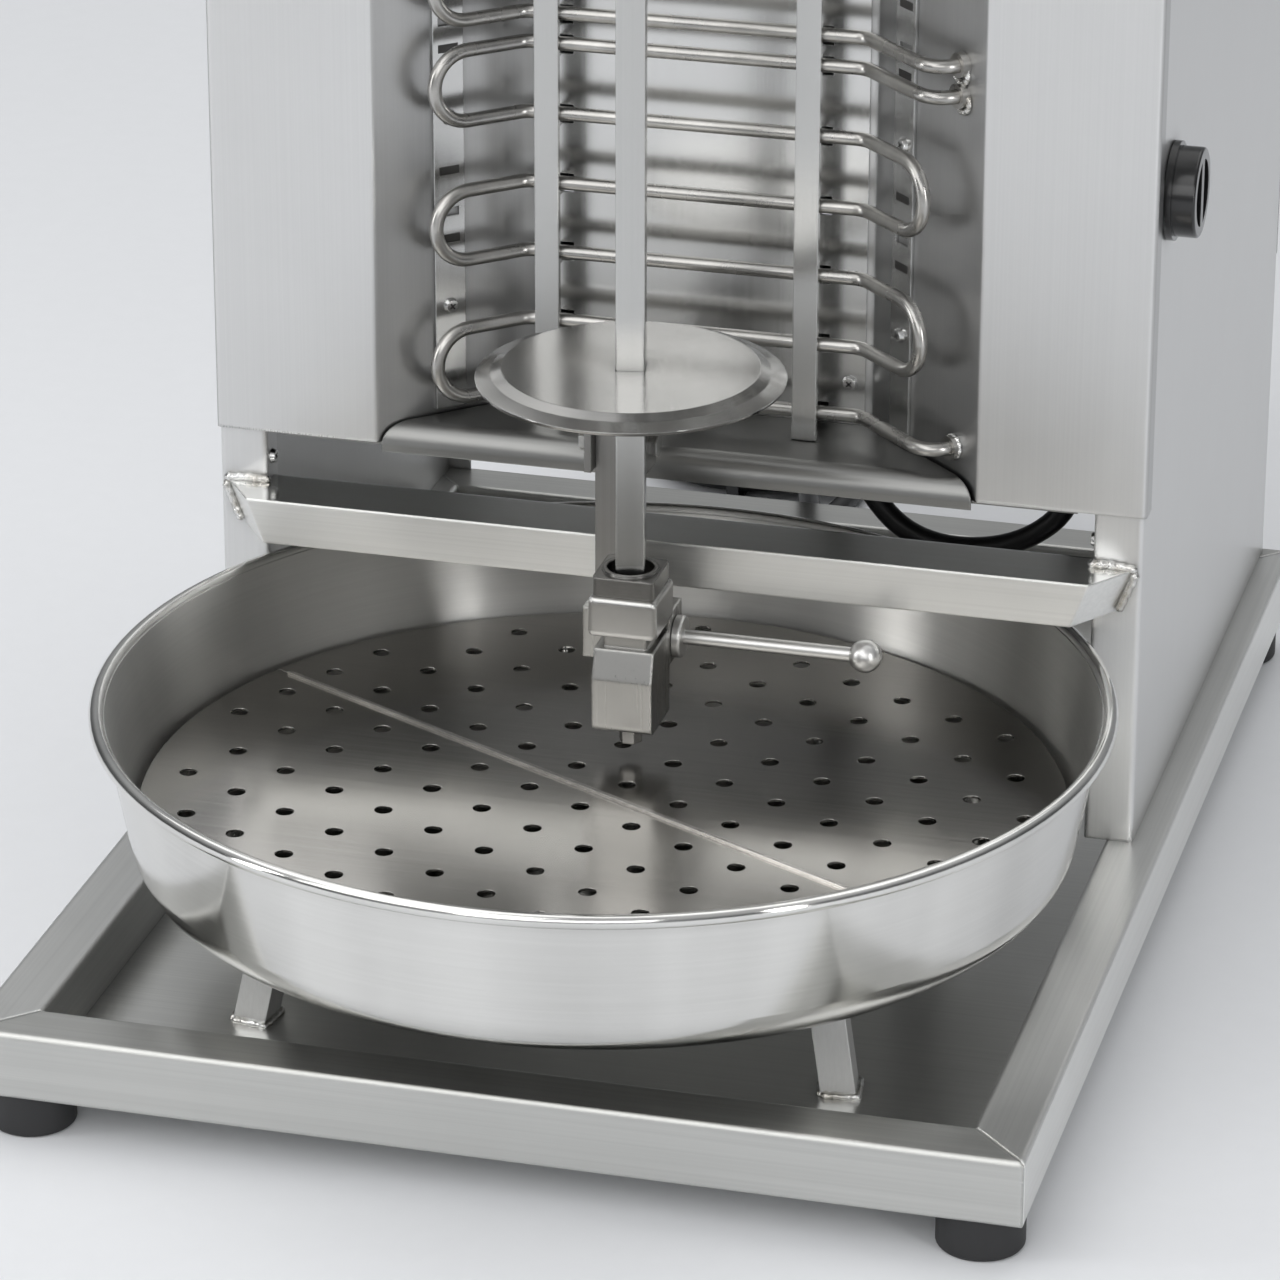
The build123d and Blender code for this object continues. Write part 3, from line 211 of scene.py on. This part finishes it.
def metal(name, colour, rough, along="x", fine=1100.0, depth=0.00002, edge=0.0008, contrast=0.10,
          marks=0.05, waves=0.001, combed=0.0, middle=None, flat_rough=None, inner_rough=None,
          outer_dark=0.0, gloss_and_reflection_bands=0.0, slant_wall_shade=0.0):
    """Stainless sheet: grain in tone, gloss and relief, cloudy marks, worn edges made brighter partly by a
    painted highlight, and painted shade in crevices.

    The grain runs along an axis, or in rings round a middle. fine is its scale, contrast its strength in
    tone and depth its height; edge is the radius of edges. marks is the strength of the clouds, waves the
    height of the sheet's slow unevenness, and combed stretches highlights across the grain.
    flat_rough replaces rough on faces that look up, inner_rough on those that look in to the middle.
    outer_dark darkens faces that look out from the middle. bands is the strength of upright stripes round it, a
    painted reflection in tone and a real change in gloss, and slant_wall_shade is painted shade on slanting
    chamber walls.
    """
    material, tree, surface = blank(name)
    place = object_place(tree)
    face = add(tree, "ShaderNodeNewGeometry").outputs["Normal"]
    soft = softened(tree, edge)
    grain = round_grain(tree, place, middle, fine) if middle else straight_grain(tree, place, along, fine)
    clouds = noise(tree, place, scale=11.0, detail=4.0, rough=0.6)
    # Edge mask: it brightens the colour, partly wear and partly a painted highlight, and lowers the roughness
    worn_and_lit_edge = ramp(tree, vectors(tree, "DOT_PRODUCT", soft, face), worn_from, worn_fully)
    # Painted shade: the colour darkens where ambient occlusion finds surfaces close by
    painted_shade_ao = add(tree, "ShaderNodeAmbientOcclusion", {"Distance": shade_reach}, samples=few_samples)
    tone = total(
        tree,
        both_ways(tree, grain, 1.0, contrast),
        both_ways(tree, clouds, 0.0, marks),
        maths(tree, "MULTIPLY", worn_and_lit_edge, worn_highlight),
    )
    tone = maths(tree, "SUBTRACT", tone, spread(tree, painted_shade_ao.outputs["AO"], crevice_shade, 0.0))
    gloss = total(tree, both_ways(tree, grain, rough, gloss_change), both_ways(tree, clouds, 0.0, gloss_change))
    if flat_rough is not None:
        rise = axis_of(tree, face, "Z")
        gloss = total(tree, gloss, ramp(tree, rise, start=0.6, end=0.9, high=flat_rough - rough))
    if inner_rough is not None or outer_dark or gloss_and_reflection_bands:
        spoke = spoke_from(tree, place, middle)
        lean = vectors(tree, "DOT_PRODUCT", spoke, face)
        if inner_rough is not None:
            gloss = total(tree, gloss, ramp(tree, lean, start=-0.4, end=-0.8, high=inner_rough - rough))
        # Faces that look out from the middle get a darker colour
        tone = maths(tree, "SUBTRACT", tone, ramp(tree, lean, start=0.1, end=0.5, high=outer_dark))
        # Upright stripes round the middle: painted reflection bands in the colour, and a real change in gloss
        stripes = noise(tree, spoke, scale=3.4, detail=2.0, rough=0.6)
        tone = total(tree, tone, both_ways(tree, stripes, 0.0, gloss_and_reflection_bands))
        gloss = total(tree, gloss, both_ways(tree, stripes, 0.0, band_gloss * gloss_and_reflection_bands))
    # Painted shade: slanting chamber walls get a darker colour
    if slant_wall_shade:
        slant = maths(tree, "ABSOLUTE", axis_of(tree, face, "X"))
        tone = maths(tree, "SUBTRACT", tone, ramp(tree, slant, start=0.3, end=0.6, high=slant_wall_shade))
    gloss = maths(tree, "SUBTRACT", gloss, maths(tree, "MULTIPLY", worn_and_lit_edge, worn_gloss))
    swell = noise(tree, place, scale=4.0, detail=1.0, rough=0.5)
    relief = bumped(tree, grain, depth, bumped(tree, swell, waves, soft))
    feed(tree, surface, tinted(tree, colour, tone), gloss, relief)
    surface.inputs["Metallic"].default_value = 1.0
    if combed:
        comb(tree, surface, along, middle, combed)
    return material


# Other materials


def moulded(name, colour, rough, fine, depth, edge=0.0006, coat=0.0, dusty=1.0):
    """Moulded plastic or rubber: a fine pebbled skin, dusty where it catches the light, softened edges."""
    material, tree, surface = blank(name)
    place = object_place(tree)
    skin = noise(tree, place, scale=fine, detail=3.0, rough=0.6)
    dust = noise(tree, place, scale=38.0, detail=5.0, rough=0.65)
    tone = total(tree, spread(tree, skin, 0.86, 1.12), spread(tree, dust, -0.12 * dusty, 0.2 * dusty))
    gloss = spread(tree, dust, rough - 0.07, rough + 0.09)
    feed(tree, surface, tinted(tree, colour, tone), gloss, bumped(tree, skin, depth, softened(tree, edge)))
    surface.inputs["Coat Weight"].default_value = coat
    surface.inputs["Coat Roughness"].default_value = 0.12
    return material


def heated(name):
    """Heating tube: sheath steel under a dull oxide that goes from dark to light grey along it."""
    material, tree, surface = blank(name)
    place = object_place(tree)
    scale = noise(tree, place, scale=900.0, detail=3.0, rough=0.6)
    burn = noise(tree, place, scale=26.0, detail=3.0, rough=0.6)
    oxide = shaded(
        tree, burn, (0.30, (0.35, 0.345, 0.335)), (0.72, (0.54, 0.53, 0.51)), (0.52, (0.44, 0.43, 0.41)),
    )
    mottled = tinted(tree, oxide, spread(tree, scale, 0.88, 1.1))
    feed(tree, surface, mottled, spread(tree, burn, 0.22, 0.34), bumped(tree, scale, 0.00003))
    surface.inputs["Metallic"].default_value = 1.0
    return material


def welded(name):
    """Weld metal: bright silver beads with a faint straw tint and a rough ripple."""
    material, tree, surface = blank(name)
    place = object_place(tree)
    ripple = noise(tree, place, scale=520.0, detail=3.0, rough=0.6)
    burn = noise(tree, place, scale=90.0, detail=2.0, rough=0.5)
    straw = shaded(tree, burn, (0.35, (0.50, 0.48, 0.44)), (0.62, (0.78, 0.78, 0.77)))
    feed(tree, surface, straw, spread(tree, ripple, 0.12, 0.34), bumped(tree, ripple, 0.0006))
    surface.inputs["Metallic"].default_value = 1.0
    return material


def painted(name, colour):
    """Cast case under satin paint with a light orange-peel skin."""
    material, tree, surface = blank(name)
    place = object_place(tree)
    peel = noise(tree, place, scale=420.0, detail=2.0, rough=0.5)
    dust = noise(tree, place, scale=22.0, detail=4.0, rough=0.6)
    tone = spread(tree, dust, 0.85, 1.2)
    feed(tree, surface, tinted(tree, colour, tone), spread(tree, dust, 0.34, 0.5), bumped(tree, peel, 0.0001))
    return material


# Finishes, and the nodes that wear them
pan_middle = (0.0, -0.161)
skewer_middle = (0.0, -0.104)
satin = dict(along="z", fine=900.0, depth=0.000006, edge=0.0030, contrast=0.045)
tube = dict(fine=450.0, depth=0.000010, edge=0.0030, combed=0.3)
ground = dict(along="z", fine=1200.0, depth=0.000001, edge=0.0024)
steels = {
    "panel_satin": dict(colour=(0.70, 0.70, 0.695), rough=0.35, **satin),
    # Its slanting walls carry painted shade in their colour
    "chamber_satin": dict(colour=(0.69, 0.69, 0.685), rough=0.34, slant_wall_shade=0.28, **satin),
    "rail_x": dict(colour=(0.58, 0.58, 0.56), rough=0.32, along="x", contrast=0.13, **tube),
    "rail_y": dict(colour=(0.82, 0.82, 0.80), rough=0.32, along="y", contrast=0.11, **tube),
    "cross_x": dict(colour=(0.84, 0.84, 0.82), rough=0.40, along="x", fine=450.0, depth=0.000010,
                    edge=0.0022, contrast=0.10, flat_rough=0.15),
    "tray_x": dict(colour=(0.76, 0.76, 0.74), rough=0.30, along="x", fine=450.0, depth=0.000014,
                   edge=0.0010, contrast=0.10, waves=0.003, combed=0.4),
    # A darkened copy of the sheet steel: its low colour is painted shade on the body floor, chamber floor and
    # ceiling
    "shaded_sheet_x": dict(colour=(0.27, 0.27, 0.262), rough=0.36, along="x", fine=500.0, depth=0.000010,
                    edge=0.0010, contrast=0.08),
    "sheet_z": dict(colour=(0.66, 0.66, 0.65), rough=0.22, along="z", fine=600.0, depth=0.000008,
                    edge=0.0008, contrast=0.07, waves=0.002),
    "stub_raw": dict(colour=(0.84, 0.84, 0.83), rough=0.50, along="z", fine=700.0, depth=0.000020,
                     edge=0.0012, contrast=0.08),
    "bar_z": dict(colour=(0.54, 0.54, 0.53), rough=0.25, along="z", fine=900.0, depth=0.000008,
                  edge=0.0012, contrast=0.08),
    "bar_dull": dict(colour=(0.33, 0.325, 0.315), rough=0.32, along="z", fine=900.0, depth=0.000010,
                     edge=0.0012, contrast=0.10, marks=0.10),
    # The pan's upright stripes in colour are painted reflection bands
    "spun": dict(colour=(0.74, 0.735, 0.715), rough=0.12, middle=pan_middle, fine=500.0, depth=0.000006,
                 contrast=0.07, waves=0.0015, combed=0.9, inner_rough=0.42, gloss_and_reflection_bands=0.28),
    "plate": dict(colour=(0.54, 0.525, 0.50), rough=0.21, along="x", fine=500.0, depth=0.000008,
                  edge=0.0006, contrast=0.10, marks=0.10, waves=0.006),
    "turned": dict(colour=(0.58, 0.575, 0.56), rough=0.18, middle=skewer_middle, fine=900.0, depth=0.000006,
                   contrast=0.07, combed=0.3, outer_dark=0.45),
    "oiled": dict(colour=(0.26, 0.255, 0.245), rough=0.30, middle=skewer_middle, fine=900.0, depth=0.000010,
                  edge=0.0015, contrast=0.12, marks=0.14),
    "ground": dict(colour=(0.58, 0.575, 0.56), rough=0.24, contrast=0.02, marks=0.10, **ground),
    "ground_dull": dict(colour=(0.43, 0.425, 0.41), rough=0.28, contrast=0.03, marks=0.12, **ground),
    "satin_rod": dict(colour=(0.70, 0.695, 0.68), rough=0.37, along="x", fine=1200.0, depth=0.000001,
                      edge=0.0010, contrast=0.03, marks=0.08),
    "bright": dict(colour=(0.72, 0.72, 0.71), rough=0.20, along="x", fine=1500.0, depth=0.000004,
                   edge=0.0006, contrast=0.04),
    # Dark steel that paints the shade inside screw recesses and strip slots
    "recess_shade": dict(colour=(0.10, 0.098, 0.095), rough=0.45, along="x", fine=1800.0, depth=0.000006,
                   edge=0.0004, contrast=0.12),
    "pin_plate": dict(colour=(0.72, 0.62, 0.40), rough=0.22, along="y", fine=1600.0, depth=0.00001,
                      edge=0.0004, contrast=0.05),
}
plastics = {
    "gloss_black": dict(colour=(0.008, 0.008, 0.0085), rough=0.22, fine=1500.0, depth=0.000005,
                        edge=0.0008, coat=0.3, dusty=0.3),
    "plastic_black": dict(colour=(0.028, 0.028, 0.029), rough=0.44, fine=1700.0, depth=0.00004),
    "rubber_black": dict(colour=(0.020, 0.020, 0.021), rough=0.56, fine=1300.0, depth=0.00006, edge=0.0015),
    "cord_black": dict(colour=(0.014, 0.014, 0.015), rough=0.42, fine=1400.0, depth=0.00004),
    "bone_plastic": dict(colour=(0.62, 0.60, 0.54), rough=0.42, fine=1500.0, depth=0.00004),
}
finishes = {name: metal(name, **settings) for name, settings in steels.items()}
finishes.update({name: moulded(name, **settings) for name, settings in plastics.items()})
finishes["element"] = heated("element")
finishes["weld"] = welded("weld")
finishes["motor_paint"] = painted("motor_paint", (0.11, 0.12, 0.13))

worn_by = {
    "chamber_satin": ["column_left", "column_right"],
    "panel_satin": ["side_left", "side_right", "top_cover", "top_arm", "rear_cover"],
    "rail_x": ["rail_front", "rail_rear"],
    "rail_y": ["rail_left", "rail_right"],
    "cross_x": ["crossbar"],
    "tray_x": ["base_tray"],
    "shaded_sheet_x": ["body_floor", "chamber_floor", "chamber_ceiling"],
    "sheet_z": ["back_reflector", "wall_strips", "plate_posts"],
    "stub_raw": ["pan_legs"],
    "bar_z": ["element_bars", "element_hooks", "skewer_bar"],
    "bar_dull": ["hanger_bar", "arm_bracket"],
    "spun": ["drip_pan"],
    "plate": ["drip_plate_front", "drip_plate_rear"],
    "turned": ["skewer_disc", "drive_shaft", "drive_socket"],
    "oiled": ["bearing_cup", "block_bolt"],
    "ground": ["bearing_housing"],
    "ground_dull": ["clamp_block"],
    "satin_rod": ["clamp_screw", "lever_ball"],
    "bright": ["panel_screws", "foot_screws", "pivot_bolt", "thrust_ball"],
    "element": ["heater_low", "heater_mid", "heater_top", "heater_ferrules"],
    "gloss_black": ["knob_low", "knob_mid", "knob_top", "motor_rocker"],
    "plastic_black": ["rocker_frame", "cable_gland", "coil_tie", "plug_body"],
    "rubber_black": ["rubber_feet"],
    "bone_plastic": ["heat_switches", "terminal_block"],
    "motor_paint": ["gear_motor"],
    "pin_plate": ["plug_pins"],
}
for finish, names in worn_by.items():
    for name in names:
        for material_slot in nodes[name].material_slots:
            material_slot.material = finishes[finish]


def piece(name, points, faces, finish, body, record_slot, smooth=True):
    """A small form of the scene's own, which moves with a body. record_slot is not used."""
    mesh = bpy.data.meshes.new(name)
    mesh.from_pydata([tuple(point) for point in points], [], faces)
    mesh.polygons.foreach_set("use_smooth", [smooth] * len(mesh.polygons))
    mesh.materials.append(finishes[finish])
    made = bpy.data.objects.new(name, mesh)
    scene.collection.objects.link(made)
    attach(made, body)


# Weld beads: lumpy runs of weld metal along the joints, with sizes in shares of the bead's radius
bead_sides = 10
bead_step = 0.4
bead_least, bead_ripple = 0.78, 0.26
ripple_turn = 0.62
tip_share, tip_growth = 0.35, 0.4
swell_chance, side_chance, rise_chance = 0.07, 0.12, 0.10
bead_guide = Vector((0.21, 0.13, 0.97))


def stepped(corners, pitch):
    """The corners, with points between them at about the pitch."""
    stations = []
    for start, end in zip(corners, corners[1:]):
        steps = max(2, round((end - start).length / pitch))
        stations += [start.lerp(end, step / steps) for step in range(steps)]
    return stations + [corners[-1]]


def bead(runs, radius, seed):
    """Points and faces of one or more runs of weld, each given by its corners and closed at both ends."""
    chance = random.Random(seed)
    points, faces = [], []
    for run in runs:
        stations = stepped([Vector(corner) for corner in run], radius * bead_step)
        end = len(stations) - 1
        first = len(points)
        for number, station in enumerate(stations):
            ahead = stations[min(number + 1, end)] - stations[max(number - 1, 0)]
            ahead.normalize()
            side = ahead.cross(bead_guide).normalized()
            rise = side.cross(ahead)
            taper = min(1.0, tip_share + tip_growth * min(number, end - number))
            ripple = bead_least + bead_ripple * abs(math.sin(number * ripple_turn))
            swell = radius * taper * (ripple + chance.uniform(-swell_chance, swell_chance))
            drift = side * chance.uniform(-side_chance, side_chance) * radius
            drift += rise * chance.uniform(-rise_chance, rise_chance) * radius
            for spoke in range(bead_sides):
                angle = 2 * math.pi * spoke / bead_sides
                points.append(station + drift + (side * math.cos(angle) + rise * math.sin(angle)) * swell)
        for ring in range(end):
            low = first + ring * bead_sides
            high = low + bead_sides
            for spoke in range(bead_sides):
                after = (spoke + 1) % bead_sides
                faces.append((low + spoke, high + spoke, high + after, low + after))
        last = first + end * bead_sides
        faces.append(tuple(first + spoke for spoke in range(bead_sides)))
        faces.append(tuple(last + spoke for spoke in reversed(range(bead_sides))))
    return points, faces


def clusters(name, reach):
    """A node's corners, sorted into groups whose corners lie within reach of the group's first one."""
    groups = []
    for vertex in nodes[name].data.vertices:
        for group in groups:
            if (group[0] - vertex.co).length < reach:
                group.append(vertex.co.copy())
                break
        else:
            groups.append([vertex.co.copy()])
    return groups


# Crossbar on its legs: a run over the top and one down the slanted end, given for the right leg
leg_top_run = [(0.238, -0.0135, 0.2312), (0.252, -0.0130, 0.2318), (0.266, -0.0135, 0.2306)]
leg_end_run = [(0.2655, -0.0132, 0.2290), (0.2608, -0.0132, 0.2170), (0.2560, -0.0138, 0.2050)]
leg_runs = [
    [(hand * x, y, z) for x, y, z in run]
    for hand in (-1, 1)
    for run in (leg_top_run, leg_end_run)
]
piece("crossbar_welds", *bead(leg_runs, radius=0.0027, seed=5), "weld", "frame", "bright_steel")

# Pan legs on the tray: a ring round each leg's foot, through its outer corners
foot_layer = 0.001
ring_growth = 1.04
ring_lift = Vector((0, 0, 0.0008))
outer_share = 0.9
same_corner = 0.001
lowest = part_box("pan_legs")[0][2]
feet = [vertex.co.copy() for vertex in nodes["pan_legs"].data.vertices if vertex.co.z < lowest + foot_layer]
stub_runs = []
for hand in (-1, 1):
    for end in (-1, 1):
        ring = [foot for foot in feet if foot.x * hand > 0 and (foot.y - pan_middle[1]) * end > 0]
        middle = sum(ring, Vector()) / len(ring)
        ring.sort(key=lambda foot: math.atan2(foot.y - middle.y, foot.x - middle.x))
        outer = [middle + (foot - middle) * ring_growth + ring_lift for foot in ring]
        far = max((corner - middle).length for corner in outer)
        outer = [corner for corner in outer if (corner - middle).length > outer_share * far]
        apart = [
            corner for corner, before in zip(outer, outer[-1:] + outer)
            if (corner - before).length > same_corner
        ]
        stub_runs.append(apart + apart[:1])
piece("stub_welds", *bead(stub_runs, radius=0.0026, seed=9), "weld", "frame", "bright_steel")

# Heating tubes at the wall: a ring round each ferrule
ferrule_reach = 0.02
ferrule_way = Vector((-0.69, -0.72, 0.0)).normalized()
ferrule_sink = 0.0016
ferrule_ring = 0.0062
ferrule_parts = 9
ferrule_side = ferrule_way.cross(skyward)
ferrule_runs = []
for group in clusters("heater_ferrules", ferrule_reach):
    middle = sum(group, Vector()) / len(group) - ferrule_way * ferrule_sink
    angles = [2 * math.pi * part / ferrule_parts for part in range(ferrule_parts + 1)]
    ferrule_runs.append([
        middle + ferrule_side * math.cos(angle) * ferrule_ring + skyward * math.sin(angle) * ferrule_ring
        for angle in angles
    ])
piece("element_welds", *bead(ferrule_runs, radius=0.0019, seed=3), "weld", "frame", "element_steel")

# Cross recesses in the panel screws and slots in the wall strips, as dark blocks sunk into them that paint the
# shade inside the holes
proud_by, half_deep = 0.00006, 0.0002
head_reach = 0.012
recess_half_long, recess_half_wide = 0.0021, 0.00055
slot_half_long, slot_half_high = 0.0062, 0.0024
slot_shares = (0.36, 0.72)
slanted = 0.3


def block(points, faces, middle, long_way, wide_way, deep_way):
    """Adds a closed block to points and faces; the ways are half its length, width and depth."""
    first = len(points)
    for deep in (-1, 1):
        for along, across in ((-1, -1), (1, -1), (1, 1), (-1, 1)):
            points.append(middle + long_way * along + wide_way * across + deep_way * deep)
    sides = [(0, 3, 2, 1), (4, 5, 6, 7), (0, 1, 5, 4), (1, 2, 6, 5), (2, 3, 7, 6), (3, 0, 4, 7)]
    faces.extend(tuple(first + corner for corner in side) for side in sides)


# Each screw's faces by the way they look, with their area and their middle times that area
screws = {}
for polygon in nodes["panel_screws"].data.polygons:
    spot = next((key for key in screws if (Vector(key) - polygon.center).length < head_reach), None)
    if spot is None:
        spot = tuple(polygon.center)
        screws[spot] = {}
    heading = tuple(round(value, 2) for value in polygon.normal)
    area, weighed = screws[spot].get(heading, (0.0, Vector()))
    screws[spot][heading] = (area + polygon.area, weighed + polygon.center * polygon.area)

# The two largest are a screw's ends, and the smaller of them is the face of its head
heads = []
recess_points, recess_faces = [], []
for looks in screws.values():
    ends = sorted(looks.items(), key=lambda look: -look[1][0])[:2]
    heading, (area, weighed) = min(ends, key=lambda look: look[1][0])
    outward = Vector(heading).normalized()
    heads.append((weighed / area, outward))
    sunk = weighed / area + outward * (proud_by - half_deep)
    side = outward.orthogonal().normalized()
    for way in (side, outward.cross(side)):
        block(recess_points, recess_faces, sunk, way * recess_half_long,
              outward.cross(way) * recess_half_wide, outward * half_deep)
piece("screw_recesses", recess_points, recess_faces, "recess_shade", "frame", "bright_steel", smooth=False)

slot_points, slot_faces = [], []
for hand in (-1, 1):
    column = [
        (middle, outward) for middle, outward in heads
        if outward.x * hand < -slanted and outward.y < -slanted
    ]
    column.sort(key=lambda head: head[0].z)
    outward = column[0][1]
    strip = [vertex.co for vertex in nodes["wall_strips"].data.vertices if vertex.co.x * hand > 0]
    slot_level = max(corner.dot(outward) for corner in strip) + proud_by - half_deep
    level_way = skyward.cross(outward).normalized() * slot_half_long
    for (lower, _), (upper, _) in zip(column, column[1:]):
        for share in slot_shares:
            middle = lower.lerp(upper, share)
            middle += outward * (slot_level - middle.dot(outward))
            block(slot_points, slot_faces, middle, level_way, skyward * slot_half_high, outward * half_deep)
piece("strip_slots", slot_points, slot_faces, "recess_shade", "frame", "bright_steel", smooth=False)

# Mains cord: one smooth line through the route and then the coil, whose half turns go to and fro
cord_route = [
    (0.205, 0.150, 0.253), (0.205, 0.150, 0.203), (0.165, 0.150, 0.166), (0.105, 0.150, 0.163),
    (0.069, 0.154, 0.200), (0.056, 0.172, 0.238), (0.043, 0.208, 0.250), (0.030, 0.242, 0.234),
    (0.020, 0.284, 0.200), (0.004, 0.338, 0.142), (-0.014, 0.394, 0.100), (-0.030, 0.446, 0.086),
    (-0.039, 0.488, 0.048), (-0.042, 0.524, 0.009), (-0.030, 0.592, 0.009), (-0.030, 0.652, 0.009),
]
cord_radius = 0.0065
coil_y = 0.665
low_z, high_z = 0.009, 0.023
half_turns = [0.080, 0.073, 0.066, 0.059, 0.052, 0.059, 0.066, 0.073, 0.080, 0.087]
rising_turn = 4
turn_steps = 8
coil_tail = 0.013
line = list(cord_route)
edge_x = cord_route[-1][0]
for number, radius in enumerate(half_turns):
    leftward = number % 2 == 0
    middle_x = edge_x - radius if leftward else edge_x + radius
    reach = radius / math.cos(math.pi / turn_steps / 2)
    for step in range(turn_steps):
        share = (step + 0.5) / turn_steps
        angle = math.pi * (share + (0 if leftward else 1))
        height = low_z if number < rising_turn else high_z
        if number == rising_turn:
            height = low_z + (high_z - low_z) * share
        line.append((middle_x + reach * math.cos(angle), coil_y + reach * math.sin(angle), height))
    edge_x = middle_x - radius if leftward else middle_x + radius
line.append((edge_x, coil_y + coil_tail, high_z))
curve = bpy.data.curves.new("mains_lead", "CURVE")
curve.dimensions = "3D"
curve.bevel_depth = cord_radius
curve.bevel_resolution = 5
curve.resolution_u = 10
curve.use_fill_caps = True
spline = curve.splines.new("NURBS")
spline.points.add(len(line) - 1)
for point, spot in zip(spline.points, line):
    point.co = (*spot, 1.0)
spline.order_u = 3
spline.use_endpoint_u = True
curve.materials.append(finishes["cord_black"])
lead = bpy.data.objects.new("mains_lead", curve)
scene.collection.objects.link(lead)
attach(lead, "frame")
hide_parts("mains_cord", "cord_coil")

# Floor
floor_half = 14
floor_colour = (0.79, 0.80, 0.82)
floor_material, tree, surface = blank("floor_paper")
fibre = noise(tree, object_place(tree), scale=60.0, detail=3.0, rough=0.6)
tree.links.new(tinted(tree, floor_colour, spread(tree, fibre, 0.985, 1.015)), surface.inputs["Base Color"])
surface.inputs["Roughness"].default_value = 0.9
surface.inputs["Specular IOR Level"].default_value = 0.1
floor_corners = [(x * floor_half, y * floor_half, 0) for x, y in ((-1, -1), (1, -1), (1, 1), (-1, 1))]
floor_mesh = bpy.data.meshes.new("floor")
floor_mesh.from_pydata(floor_corners, [], [(0, 1, 2, 3)])
floor_mesh.materials.append(floor_material)
floor = bpy.data.objects.new("floor", floor_mesh)
scene.collection.objects.link(floor)

# Surroundings: brighter overhead, and dimmer low on both flanks
world = bpy.data.worlds.new("studio")
world.use_nodes = True
scene.world = world
tree = world.node_tree
sky = tree.nodes["Background"]
sky_strength, flank_strength = 0.62, 0.22
heading = add(tree, "ShaderNodeTexCoord").outputs["Generated"]
sky_parts = add(tree, "ShaderNodeSeparateXYZ", {"Vector": heading}).outputs
sky_colour = shaded(
    tree, sky_parts["Z"], (0.0, (0.42, 0.43, 0.45)), (1.0, (0.86, 0.87, 0.88)),
    (0.30, (0.40, 0.41, 0.42)), (0.62, (0.70, 0.71, 0.72)),
)
aside = maths(tree, "ABSOLUTE", sky_parts["X"])
flank = ramp(tree, aside, start=0.35, end=0.80, ease="SMOOTHSTEP")
low_down = ramp(tree, sky_parts["Z"], start=0.70, end=0.15, ease="SMOOTHSTEP")
strength = spread(tree, maths(tree, "MULTIPLY", flank, low_down), sky_strength, flank_strength)
tree.links.new(sky_colour, sky.inputs["Color"])
tree.links.new(strength, sky.inputs["Strength"])

# Lamps
grill_middle = (0, 0, 0.3)


def softbox(name, place, aim, width, height, power):
    """A rectangular lamp at place that shines towards aim."""
    lamp = bpy.data.lights.new(name, "AREA")
    lamp.shape = "RECTANGLE"
    lamp.size, lamp.size_y, lamp.energy = width, height, power
    made = bpy.data.objects.new(name, lamp)
    turned = (Vector(aim) - Vector(place)).to_track_quat("-Z", "Y").to_matrix().to_4x4()
    made.matrix_world = Matrix.Translation(place) @ turned
    scene.collection.objects.link(made)


softbox("key_light", (-1.7, -2.7, 3.3), grill_middle, width=3.2, height=3.0, power=50)
softbox("front_light", (0.3, -3.7, 1.9), grill_middle, width=2.8, height=1.8, power=29)
softbox("right_strip", (2.4, -2.0, 1.0), grill_middle, width=0.35, height=1.5, power=20)
softbox("left_strip", (-2.5, -1.5, 1.0), grill_middle, width=0.35, height=1.5, power=15)
softbox("top_light", (-0.4, 1.2, 3.8), (-0.1, 0.4, 0.2), width=5.4, height=4.2, power=70)

# Camera, with its focal length in pixels of a square picture
focal, picture_width = 5968.0, 1280
sensor_width = 36.0
pitch, yaw, roll = math.radians(23.415), math.radians(14.88), math.radians(0.11)
eye = Vector((0.7824, -3.0287, 1.5073))
forward = Vector((-math.sin(yaw) * math.cos(pitch), math.cos(yaw) * math.cos(pitch), -math.sin(pitch)))
right = Vector((math.cos(yaw), math.sin(yaw), 0))
up = right.cross(forward)
across = math.cos(roll) * right + math.sin(roll) * up
upward = math.cos(roll) * up - math.sin(roll) * right
view = bpy.data.cameras.new("photo_view")
view.sensor_width = sensor_width
view.lens = focal / picture_width * sensor_width
view.clip_end = 60.0
camera = bpy.data.objects.new("photo_view", view)
camera.matrix_world = Matrix.Translation(eye) @ Matrix((across, upward, -forward)).transposed().to_4x4()
scene.collection.objects.link(camera)
scene.camera = camera
scene.view_settings.view_transform = "Standard"
